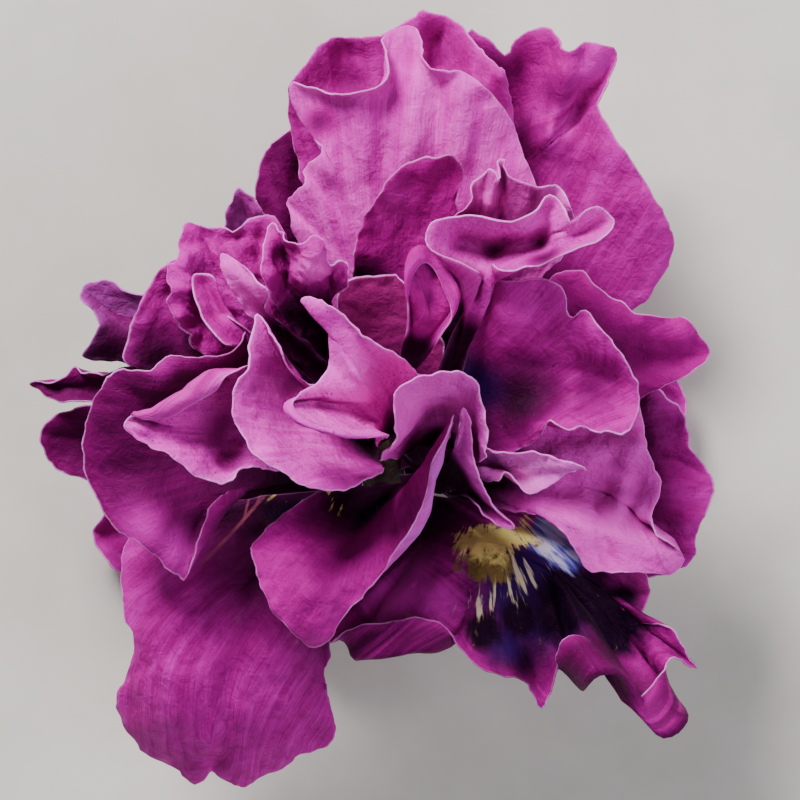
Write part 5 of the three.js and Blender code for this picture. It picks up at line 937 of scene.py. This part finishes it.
# How a petal looks where LOOKS doesn't say otherwise. A spot is [x, y, z, reach] and may have a
# strength below 1 as a fifth number.
PLAIN = dict(
    colours=MELLOW,
    slot="petal",
    throat=(14, 40),  # the distances from CROWN over which the dark of the throat gives way: its own deeper colour and painted shade
    shade=[],  # spots of painted shade
    painted_light=[],  # spots of painted light,
    bright=None,  # in this colour, or else in the light one
    streak=0.5,  # how strong the veins are
    crumple=0.3,  # how rough the skin is
    speckle=0.25,  # how strong its small dark specks are
    edge=0.75,  # how strong the thread of light along the rim is
    lines=[],  # midribs that show, [x0, y0, x1, y1, width]
    marks={},  # a fall's signal: spots by their colour,
    fan=None,  # and the place that its streaks fan out from
    ripple=RIPPLE,
    frill=None,  # how many small waves the rim has, and their rise
    fray=1.0,  # how uneven the rim is, as a share of FRAY
    blade=BLADE,
    columns=COLUMNS,
)
LOOKS = {
    "standard_front": dict(
        colours=(PINK, PALE, MID, PINK), throat=(14, 34), streak=0.9, edge=0.4, ripple=(3.0, 0.3),
        shade=[[-11.5, 40, 39, 5, 0.8]]),
    "standard_back": dict(
        colours=(MID, PINK, PLUM, PINK), throat=(16, 44), edge=0.4, ripple=(4.0, 0.35),
        shade=[[-7, 46, 28, 5, 0.6], [-4, 50, 28, 4, 0.4], [5, 49.5, 27, 4, 0.5]]),
    "standard_inner": dict(
        colours=(MID, MID, WINE, PLUM), slot="petal_dark", throat=(20, 40), edge=0.5,
        shade=[[-6, 18, 42, 6]], painted_light=[[-2, 29, 47, 6, 0.6]], bright=PINK),
    "standard_right": dict(
        colours=RICH, throat=(20, 50), edge=0.4, painted_light=[[28.5, 48, 28, 5]],
        shade=[[13, 46, 23, 9, 0.7], [16, 38, 19, 8, 0.6], [17, 30, 19, 6, 0.7],
            [22, 44.5, 27, 5, 0.4]]),
    "petal_upper_left": dict(colours=DUSKY, slot="petal_dark", throat=(20, 56)),
    "petal_small_curl": dict(colours=(MID, LILAC, WINE, MID), throat=(20, 46)),
    "crest_outer": dict(
        throat=(26, 40), speckle=0.4, crumple=0.9, ripple=(3.0, 1.0), frill=(46, 0.7), fray=0.5,
        painted_light=[[-31.5, 19, 49, 5], [-20, 25, 46, 4, 0.6]]),
    "crest_ridge": dict(
        colours=(MID, PINK, PLUM, PINK), throat=(35, 43), crumple=0.9, ripple=(2.8, 0.9),
        painted_light=[[-12, 18.5, 53.5, 5]], bright=PALE),
    "crest_tongue": dict(
        colours=BRIGHT, throat=(36, 43), ripple=(3, 0.3), painted_light=[[-22, 16, 54, 8, 0.9]]),
    "crest_loop": dict(
        colours=SHADED, slot="petal_dark", throat=(34, 43), ripple=(3, 0.1), fray=0.1),
    "far_left_point": dict(colours=DUSKY, slot="petal_dark", throat=(30, 52)),
    "far_left_curl": dict(
        colours=(PLUM, LILAC, WINE, MID), slot="petal_dark", throat=(26, 52),
        shade=[[-42, 6, 33, 9]]),
    "far_left_rise": dict(
        colours=SHADED, slot="petal_dark", throat=(26, 48),
        shade=[[-35, 5, 38, 11], [-28, 8, 38, 9]]),
    "far_left_lower": dict(colours=DUSKY, slot="petal_dark", throat=(20, 56)),
    "left_broad": dict(
        colours=(WINE, PLUM, DEEP, MID), throat=(18, 46), ripple=(7.0, 0.5),
        shade=[[-36, -11, 47, 7, 0.5]], bright=PINK,
        painted_light=[[-37, -18.5, 49, 6.5, 0.6], [-31.5, -22, 47, 6, 0.8], [-34, 5, 55, 4, 0.5]]),
    "left_lip": dict(
        colours=BRIGHT, throat=(20, 40), crumple=0.5, ripple=(4.0, 0.35), speckle=0.8,
        shade=[[-26.5, -4, 53, 7.5, 0.7], [-26, -8, 53, 6, 0.55]]),
    "centre_left": dict(
        colours=BRIGHT_BOTH, throat=(20, 38), speckle=0.5,
        shade=[[-15, 2, 55, 4.5, 0.8], [-16, 5.5, 59, 3.5, 0.7]]),
    "centre_scroll": dict(
        colours=BRIGHT_BOTH, throat=(20, 40), speckle=0.8, ripple=(4.0, 0.3),
        painted_light=[[-5, 4, 66, 8, 0.7], [-4, 1.5, 65, 5.5]]),
    "centre_rim": dict(
        colours=BRIGHT_BOTH, throat=(26, 36),
        painted_light=[[2, 0, 66, 13, 0.9], [-1, -6, 63, 6, 0.7], [11, -4, 66, 7, 0.8]]),
    "centre_flap": dict(
        colours=(LILAC, PALE, PLUM, PLUM), throat=(20, 36), speckle=0.6,
        painted_light=[[17, -10.5, 55, 6], [21, -9, 57, 5, 0.6]], bright=PAINTED_LIGHT_PINK),
    "centre_ribbon": dict(
        colours=BRIGHT, throat=(34, 38), ripple=(4, 0.2), painted_light=[[11, -9, 60, 9, 0.9]]),
    "centre_back": dict(
        colours=(MAUVE, MAUVE, WINE, PLUM), throat=(18, 30), streak=0.2, speckle=0.1),
    "right_crest": dict(
        colours=BRIGHT, throat=(36, 43), speckle=0.8, crumple=0.7, ripple=(3.5, 0.15), fray=0.3,
        blade=0.3, shade=[[20.5, 20, 62, 5, 0.8]],
        painted_light=[[12, 25, 63, 3.5, 0.8], [18, 26, 61, 3.5, 0.8], [14, 21, 54, 6, 0.45],
            [21, 22.5, 56, 5, 0.45]]),
    "right_crest_back": dict(
        colours=(PLUM, PALE, WINE, PINK), throat=(30, 46), ripple=(3.0, 0.5), frill=(50, 0.8),
        painted_light=[[13.5, 28.5, 53.5, 4.5], [20.5, 28.5, 52, 4, 0.8]]),
    "right_curl": dict(
        throat=(34, 39), ripple=(3, 0.1), fray=0.0, blade=0.26,
        shade=[[3.9, 14.5, 53, 3.5], [4, 12, 52, 3]]),
    "right_broad": dict(
        colours=RICH, throat=(20, 42), streak=0.7, ripple=(6.0, 0.4),
        marks={"violet": [[11.5, 2.5, 44, 8, 0.8]]}, fan=[5, -5],
        shade=[[17, 0, 47, 12, 0.95], [27, 2, 52, 8, 0.55], [24, 11, 53, 8, 0.3]],
        painted_light=[[17, 13, 53, 6, 0.5]]),
    "far_right": dict(colours=(MID, MID, PLUM, MID), throat=(30, 54), ripple=(5.0, 0.5)),
    "back_right": dict(colours=RICH, throat=(28, 52), crumple=0.9, ripple=(3.0, 0.6)),
    "right_crumpled": dict(
        colours=BRIGHT, throat=(20, 33), crumple=0.9, ripple=(3.0, 0.5), speckle=0.5,
        painted_light=[[30, -15, 43, 15, 0.9]]),
    "fall_centre": dict(
        colours=(MID, ROSE, WINE, LILAC), slot="petal_signal", throat=(14, 34), ripple=(5, 0.3),
        shade=[[-11, -25, 52, 10, 0.3]], fan=[-5, -6],
        marks={
            "olive": [[-9, -13.5, 38, 5, 0.35]],
            "white": [[-4, -16, 42, 5, 0.3]],
            "ink": [[-4, -15, 40, 6]],
            "violet": [[-4, -17, 44, 7, 0.8]]}),
    "fall_left": dict(
        colours=RICH, slot="petal_signal", throat=(16, 42), streak=0.8, ripple=(4.0, 0.45),
        shade=[[-25, -15, 32, 10], [-19, -18, 32, 9]],
        lines=[[-29, -24, -24.5, -19.5, 0.4], [-24.5, -19.5, -18, -12, 0.35],
            [-22.6, -17.6, -21, -11, 0.25], [-20.9, -15.6, -18.8, -10, 0.25]], fan=[-10, -8],
        marks={"olive": [[-19.5, -12, 31, 4, 0.4]], "ink": [[-16, -15, 30, 7]]}),
    "fall_right": dict(
        colours=(PLUM, ROSE, WINE, WINE), slot="petal_signal", throat=(10, 26), ripple=(5, 0.3),
        columns=36, bright=PINK, fan=[12.5, -12],
        shade=[[28, -37, 47, 11, 0.9], [17, -38, 44, 7, 0.9], [32, -40, 46, 7, 0.8]],
        painted_light=[[-1, -28, 40, 6, 0.9], [5, -28.5, 42, 5, 0.8], [1.5, -23.5, 38, 5, 0.7],
            [37, -27, 39, 4, 0.8], [35, -46, 44, 6, 0.4]],
        marks={
            "olive": [[12.3, -19.5, 38, 7.5], [16.5, -18.5, 37.5, 6.5], [12.5, -23.5, 40, 6.5]],
            "white": [[10.5, -28, 41.5, 5, 0.55], [14.5, -28, 42, 4.5, 0.55],
                [18.5, -24.5, 41, 5, 0.6], [22, -20, 37.5, 5, 0.5]],
            "sky": [[21.5, -19.5, 37, 7], [24, -22, 39, 6, 0.8]],
            "ink": [[25, -29, 42, 11], [31, -31, 43, 10], [17, -31, 43, 6, 0.8],
                [12, -33, 43, 6, 0.8], [19, -36, 45, 6, 0.7]],
            "violet": [[20, -27, 42, 17], [15, -35, 43, 7, 0.8]]}),
    "under_left": dict(ripple=(5, 0.4)),
    "under_right": dict(ripple=(5, 0.4)),
    "under_top": dict(ripple=(5, 0.4)),
}


def blobs(points, spots):
    """How near each point is to the spots, [x, y, z, reach, strength], from 0 to 1."""
    value = np.zeros(len(points))
    for x, y, z, reach, *strength in spots:
        distance = np.linalg.norm(points - np.array([x, y, z]), axis=1)
        near = (1 - ease(distance, 0.0, reach)) * (strength[0] if strength else 1)
        value = np.maximum(value, near)
    return value


def to_mesh(name, vertices, faces, values):
    """A smooth piece in the row frame; the values are kept on its vertices, for its material."""
    mesh = bpy.data.meshes.new(name)
    mesh.from_pydata(((vertices - CENTRE) * MM).tolist(), [], faces)
    mesh.validate()
    for key, numbers in values.items():
        layer = mesh.attributes.new(key, "FLOAT", "POINT")
        layer.data.foreach_set("value", np.asarray(numbers, np.float32))
    mesh.polygons.foreach_set("use_smooth", [True] * len(mesh.polygons))
    piece = bpy.data.objects.new(name, mesh)
    bpy.context.scene.collection.objects.link(piece)
    return piece


def spot_values(look, vertices):
    """Where a petal has painted shade (in the throat partly its own deeper colour), painted light and
    marks, and its place in the fan of its streaks.
    """
    # The throat's dark: partly the petal's own deeper colour, partly painted shade deep in the bloom.
    throat = 1 - ease(np.linalg.norm(vertices - CROWN, axis=1), *look["throat"])
    values = {"shade": np.maximum(throat, blobs(vertices, look["shade"])),
              "painted_light": blobs(vertices, look["painted_light"])}
    for mark, spots in look["marks"].items():
        values[mark] = blobs(vertices, spots)
    if look["fan"]:
        spread = vertices[:, :2] - look["fan"]
        values["fan_turn"] = np.arctan2(spread[:, 0], -spread[:, 1])
        values["fan_mm"] = np.linalg.norm(spread, axis=1)
    return values


def in_detail(pts, nrm, flats, rims, look, seed):
    """The points with the skin's small folds, the uneven rim and, on some petals, a frill."""
    root = ease(flats[:, 1], *BARE_CLAW)
    size, depth = look["ripple"]
    ripple = np.array([fractal(p, size, seed) for p in pts])
    pts = pts + nrm * (ripple * depth * root)[:, None]
    edging = np.exp(-rims / FRAY_REACH) * root
    shifts = (5, 11, 17)
    wander = np.array([[fractal(p, FRAY_SIZE, seed + s, 2) for s in shifts] for p in pts])
    pts = pts + wander * (FRAY * look["fray"]) * edging[:, None]
    if look["frill"]:
        count, rise = look["frill"]
        phase = np.arctan2(flats[:, 0], flats[:, 1] + 4) * count
        wave = np.sin(phase) * np.sin(0.37 * phase + seed)
        pts = pts + nrm * (wave * rise * np.exp(-rims / FRILL_REACH) * root)[:, None]
    return pts


def round_grid(index, inset=0):
    """A grid's outermost numbers in turn, down one side and up the other; or those next to them."""
    return np.r_[index[:, inset], index[-2::-1, -1 - inset], index[inset, -2:0:-1]]


def two_skins(index, loop, count):
    """Faces of a petal's upper side, of its underside and of the two strips along its lip."""
    quads = np.stack([index[:-1, :-1], index[:-1, 1:], index[1:, 1:], index[1:, :-1]], axis=-1)
    quads = quads.reshape(-1, 4).tolist()
    faces = [tuple(q) for q in quads] + [tuple(count + k for k in q[::-1]) for q in quads]
    lip = range(2 * count, 2 * count + len(loop))
    for a, b, p, q in zip(loop, np.roll(loop, -1), lip, np.roll(lip, -1)):
        faces += [(q, p, a, b), (b + count, a + count, p, q)]
    return faces


def petal_piece(petal, look, seed):
    """A closed petal: two skins round the middle surface, joined by a rounded rim."""
    columns = look["columns"]
    points, flat, rim_mm = petal_grid(petal, columns)
    normal = grid_normals(points, columns)
    middle, begun = (UPPER, UPPER_START) if petal.get("upper") else (CROWN, CLAW_START)
    inner = [middle + (points[0] - middle) * share for share in (begun, (1 + begun) / 2)]
    points = np.concatenate([inner, points])
    flat, rim_mm, normal = (np.concatenate([a[:1], a[:1], a]) for a in (flat, rim_mm, normal))
    index = np.arange(rim_mm.size).reshape(rim_mm.shape)
    index[-1, columns + 1:] = index[-1, :columns][::-1]
    keep, index = np.unique(index, return_inverse=True)
    index = index.reshape(rim_mm.shape)
    pts, nrm = points.reshape(-1, 3)[keep], normal.reshape(-1, 3)[keep]
    rims, flats = rim_mm.reshape(-1)[keep], flat.reshape(-1, 2)[keep]
    pts = in_detail(pts, nrm, flats, rims, look, seed)
    pts[:, 2] = np.maximum(pts[:, 2], petal.get("floor", 0.0))
    half = (RIM_BLADE + (look["blade"] - RIM_BLADE) * ease(rims, 0, BLADE_REACH)) / 2
    loop = round_grid(index)
    outward = unit(pts[loop] - pts[round_grid(index, 1)])
    lip = pts[loop] + outward * half[loop][:, None] * LIP
    vertices = np.vstack([pts + nrm * half[:, None], pts - nrm * half[:, None], lip])
    count, ring = len(pts), len(loop)
    upper = 1.0 if normal[..., 2].mean() > 0 else 0.0
    values = {
        "across_mm": np.r_[flats[:, 0], flats[:, 0], flats[loop, 0]],
        "along_mm": np.r_[flats[:, 1], flats[:, 1], flats[loop, 1]],
        "rim_mm": np.r_[rims, rims, np.zeros(ring)],
        "front": np.r_[np.full(count, upper), np.full(count, 1 - upper), np.full(ring, 0.5)],
        **spot_values(look, vertices),
    }
    return to_mesh("look_" + petal["name"], vertices, two_skins(index, loop, count), values)


def nook_rays():
    """Directions spread evenly over the side that a petal's skin faces; its normal is z."""
    turn = math.pi * (3 - math.sqrt(5))
    rays = []
    for k in range(NOOK_RAYS):
        rise = NOOK_LOWEST + (1 - NOOK_LOWEST) * (k + 0.5) / NOOK_RAYS
        flat = math.sqrt(1 - rise * rise)
        rays.append((flat * math.cos(turn * k), flat * math.sin(turn * k), rise))
    return rays


def nook(tree, rays, place, normal):
    """The share of the rays from a place that meet a petal; one met close by counts for more."""
    side = normal.orthogonal().normalized()
    other = normal.cross(side)
    start = place + normal * NOOK_LIFT * MM
    reach = NOOK_REACH * MM
    hits = 0.0
    for x, y, z in rays:
        hit = tree.ray_cast(start, side * x + other * y + normal * z, reach)
        if hit[0] is not None:
            hits += 1 - hit[3] / reach
    return hits / len(rays)


def closed_in(pieces):
    """Set on every vertex of the petals how closed in between them it is, from 0 to 1."""
    corners, faces = [], []
    for piece in pieces:
        first = len(corners)
        corners += [v.co[:] for v in piece.data.vertices]
        faces += [tuple(first + k for k in q.vertices) for q in piece.data.polygons]
    tree = BVHTree.FromPolygons(corners, faces)
    rays = nook_rays()
    for piece in pieces:
        mesh = piece.data
        places, normals = np.empty((2, 3 * len(mesh.vertices)))
        mesh.vertices.foreach_get("co", places)
        mesh.vertex_normals.foreach_get("vector", normals)
        places, normals = places.reshape(-1, 3), normals.reshape(-1, 3)
        beside = places + normals * NOOK_SIDE * MM
        some = np.arange(0, len(places), NOOK_STEP)
        found = np.zeros(len(some))
        near = KDTree(len(some))
        for n, i in enumerate(some):
            found[n] = nook(tree, rays, Vector(places[i]), Vector(normals[i]))
            near.insert(beside[i], n)
        near.balance()
        value = np.zeros(len(places))
        for i, place in enumerate(beside):
            total = weight = 0.0
            for co, n, distance in near.find_n(place, NOOK_NEAREST):
                share = 1 / (distance + NOOK_SOFTNESS * MM)
                total += share * found[n]
                weight += share
            value[i] = total / weight
        layer = mesh.attributes.new("closed", "FLOAT", "POINT")
        layer.data.foreach_set("value", value.astype(np.float32))


REACH = float(np.linalg.norm(STEM_END - CROWN))
DOWN = (STEM_END - CROWN) / REACH
ACROSS = unit(np.cross(DOWN, [0, 0, 1]))
BACK = np.cross(ACROSS, DOWN)


def around(distance, radius, angle):
    """The place so far down the stem's line, so far out from it, and at this angle."""
    distance, radius, angle = (np.asarray(v, float)[..., None] for v in (distance, radius, angle))
    return CROWN + DOWN * distance + (ACROSS * np.cos(angle) + BACK * np.sin(angle)) * radius


def closed_tube(name, rings, ends, values):
    """A closed solid: rings of points, and a point in the middle of either end."""
    sides = rings.shape[1]
    end, first = (len(rings) - 1) * sides, len(rings) * sides
    faces = []
    for start in range(0, end, sides):
        for k in range(sides):
            a, b = start + k, start + (k + 1) % sides
            faces.append((a, a + sides, b + sides, b))
    for k in range(sides):
        following = (k + 1) % sides
        faces += [(first, k, following), (first + 1, end + following, end + k)]
    return to_mesh(name, np.vstack([rings.reshape(-1, 3), ends]), faces, values)


def turned_piece(name, profile, sides, lobes):
    """A closed solid turned about the stem's line, with three lobes and fine raised ribs."""
    profile = np.array(profile, float)
    distance = np.linspace(profile[0, 0], profile[-1, 0], TUBE_RINGS)
    radius = np.interp(distance, profile[:, 0], profile[:, 1])
    kernel = np.hanning(7)
    radius[3:-3] = np.convolve(radius, kernel / kernel.sum(), "valid")
    angle = np.linspace(0, 2 * np.pi, sides, endpoint=False)
    D, A = np.meshgrid(distance, angle, indexing="ij")
    R = radius[:, None] * (1 + lobes * np.cos(3 * A) + RIBS * np.cos(12 * A))
    R[[0, -1]] -= END_BEVEL
    values = {
        "cut": np.r_[np.zeros(D.size - sides), np.ones(sides), 0, 1],
        "along_mm": np.r_[D.reshape(-1), distance[[0, -1]]],
        "turn": np.r_[A.reshape(-1), 0, 0],
    }
    return closed_tube(name, around(D, R, A), around(distance[[0, -1]], [0, 0], [0, 0]), values)


def bract_piece(bract):
    """A papery bract wrapped part of the way round the stem, narrowing to its point."""
    rows, columns = 44, 14
    t = np.linspace(0, 1, rows + 1)[:, None]
    j = np.linspace(-1, 1, 2 * columns + 1)[None, :]
    half = bract["spread"] * np.sqrt(1 - t**2.2) + BRACT_POINT
    lean = bract["radius"] + BRACT_SWELL * np.sin(np.pi * np.minimum(1, t * 1.15))
    radius = lean * (1 + BRACT_FLARE * j**2) + BRACT_RIB * np.cos(j * BRACT_RIB_TURN)
    distance = bract["start"] + (bract["end"] - bract["start"]) * t + 0 * j
    angle = bract["facing"] + half * j
    outer = around(distance, radius + BRACT / 2, angle)
    inner = around(distance, radius - BRACT / 2, angle)
    index = np.arange(angle.size).reshape(angle.shape)
    quads = np.stack([index[:-1, :-1], index[:-1, 1:], index[1:, 1:], index[1:, :-1]], axis=-1)
    faces = []
    for quad in quads.reshape(-1, 4).tolist():
        faces += [tuple(quad), tuple(k + angle.size for k in quad[::-1])]
    loop = np.r_[index[:, 0], index[-1, 1:], index[-2::-1, -1], index[0, -2:0:-1]]
    for a, b in zip(loop, np.roll(loop, -1)):
        faces.append((a, b, b + angle.size, a + angle.size))
    vertices = np.vstack([outer.reshape(-1, 3), inner.reshape(-1, 3)])
    across = np.tile((j * half).reshape(-1), 2)
    tip = np.tile(np.broadcast_to(t, angle.shape).reshape(-1), 2)
    return to_mesh("look_" + bract["name"], vertices, faces, {"across": across, "tip": tip})


def receptacle_piece():
    """A rounded cone from the crown up to the inner petals' claws."""
    sides, rings = 48, 28
    length = float(np.linalg.norm(UPPER - CROWN))
    axis = (UPPER - CROWN) / length
    side = unit(np.cross(axis, [0, 0, 1]))
    other = np.cross(axis, side)
    turn = np.linspace(0, np.pi, rings + 1)[1:-1]
    t = (1 - np.cos(turn)) / 2
    height = -RECEPTACLE_RADIUS + (RECEPTACLE_RADIUS + length + RECEPTACLE_TOP) * t
    width = (RECEPTACLE_RADIUS + (RECEPTACLE_TOP - RECEPTACLE_RADIUS) * t) * np.sin(turn)
    angle = np.linspace(0, 2 * np.pi, sides, endpoint=False)
    ring = np.cos(angle)[:, None] * side + np.sin(angle)[:, None] * other
    grid = CROWN + height[:, None, None] * axis + width[:, None, None] * ring
    ends = [CROWN - axis * RECEPTACLE_RADIUS, CROWN + axis * (length + RECEPTACLE_TOP)]
    return closed_tube("look_receptacle", grid[:, ::-1], ends, {})


def lay_table():
    mesh = bpy.data.meshes.new("table")
    half = TABLE_HALF
    corners = [(-half, -half, 0), (half, -half, 0), (half, half, 0), (-half, half, 0)]
    mesh.from_pydata(corners, [], [(0, 1, 2, 3)])
    mesh.materials.append(table_material())
    table = bpy.data.objects.new("table", mesh)
    bpy.context.scene.collection.objects.link(table)


def area_light(name, place, size, power, colour):
    """A round lamp that faces the bloom."""
    lamp = bpy.data.lights.new(name, "AREA")
    lamp.shape, lamp.size, lamp.energy, lamp.color = "DISK", size, power, colour
    light = bpy.data.objects.new(name, lamp)
    light.location = place
    toward = Vector(LIT_PLACE) - Vector(place)
    light.rotation_euler = toward.to_track_quat("-Z", "Y").to_euler()
    bpy.context.scene.collection.objects.link(light)


def light_room():
    """A lamp over the upper left, a softer one over the right, and a little light all round."""
    area_light("key", (-0.3, 0.6, 0.6), size=0.35, power=16.0, colour=(1.0, 0.98, 0.95))
    area_light("fill", (0.6, -0.3, 0.7), size=0.8, power=6.0, colour=(0.96, 0.95, 1.0))
    world = bpy.data.worlds.new("studio")
    world.use_nodes = True
    background = world.node_tree.nodes["Background"]
    background.inputs["Color"].default_value = AMBIENT
    background.inputs["Strength"].default_value = AMBIENT_STRENGTH
    bpy.context.scene.world = world


def look_down():
    """The camera, straight above the bloom's middle."""
    lens = bpy.data.cameras.new("camera")
    lens.sensor_width = SENSOR_MM
    lens.lens = SENSOR_MM * DISTANCE_MM / FRAME_MM
    lens.clip_start, lens.clip_end = 0.05, 10
    camera = bpy.data.objects.new("camera", lens)
    camera.location = (-CENTRE[0] * MM, -CENTRE[1] * MM, (PLANE_MM + DISTANCE_MM) * MM)
    bpy.context.scene.collection.objects.link(camera)
    bpy.context.scene.camera = camera


def dressed(piece, material, node):
    """Give a piece its material, hang it on the root body and hide the solid that it stands for."""
    piece.data.materials.append(material)
    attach(piece, "root")
    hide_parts(node)
    return piece


petals = []
for number, petal in enumerate(PETALS):
    name, seed = petal["name"], FIRST_SEED + SEED_STEP * number
    look = {**PLAIN, **LOOKS[name]}
    silk = petal_material(name, seed, look)
    petals.append(dressed(petal_piece(petal, look, seed), silk, name))
closed_in(petals)

green, paper = green_material(), paper_material()
stem_profile = [[STEM_FROM, STEM_RADIUS], [REACH, STEM_RADIUS]]
ovary = turned_piece("look_ovary", OVARY_PROFILE, OVARY_SIDES, OVARY_LOBES)
stem = turned_piece("look_stem", stem_profile, STEM_SIDES, 0.0)
dressed(ovary, green, "ovary")
dressed(stem, green, "stem")
for bract in BRACTS:
    dressed(bract_piece(bract), paper, bract["name"])
dressed(receptacle_piece(), flesh_material(), "receptacle")

lay_table()
light_room()
look_down()
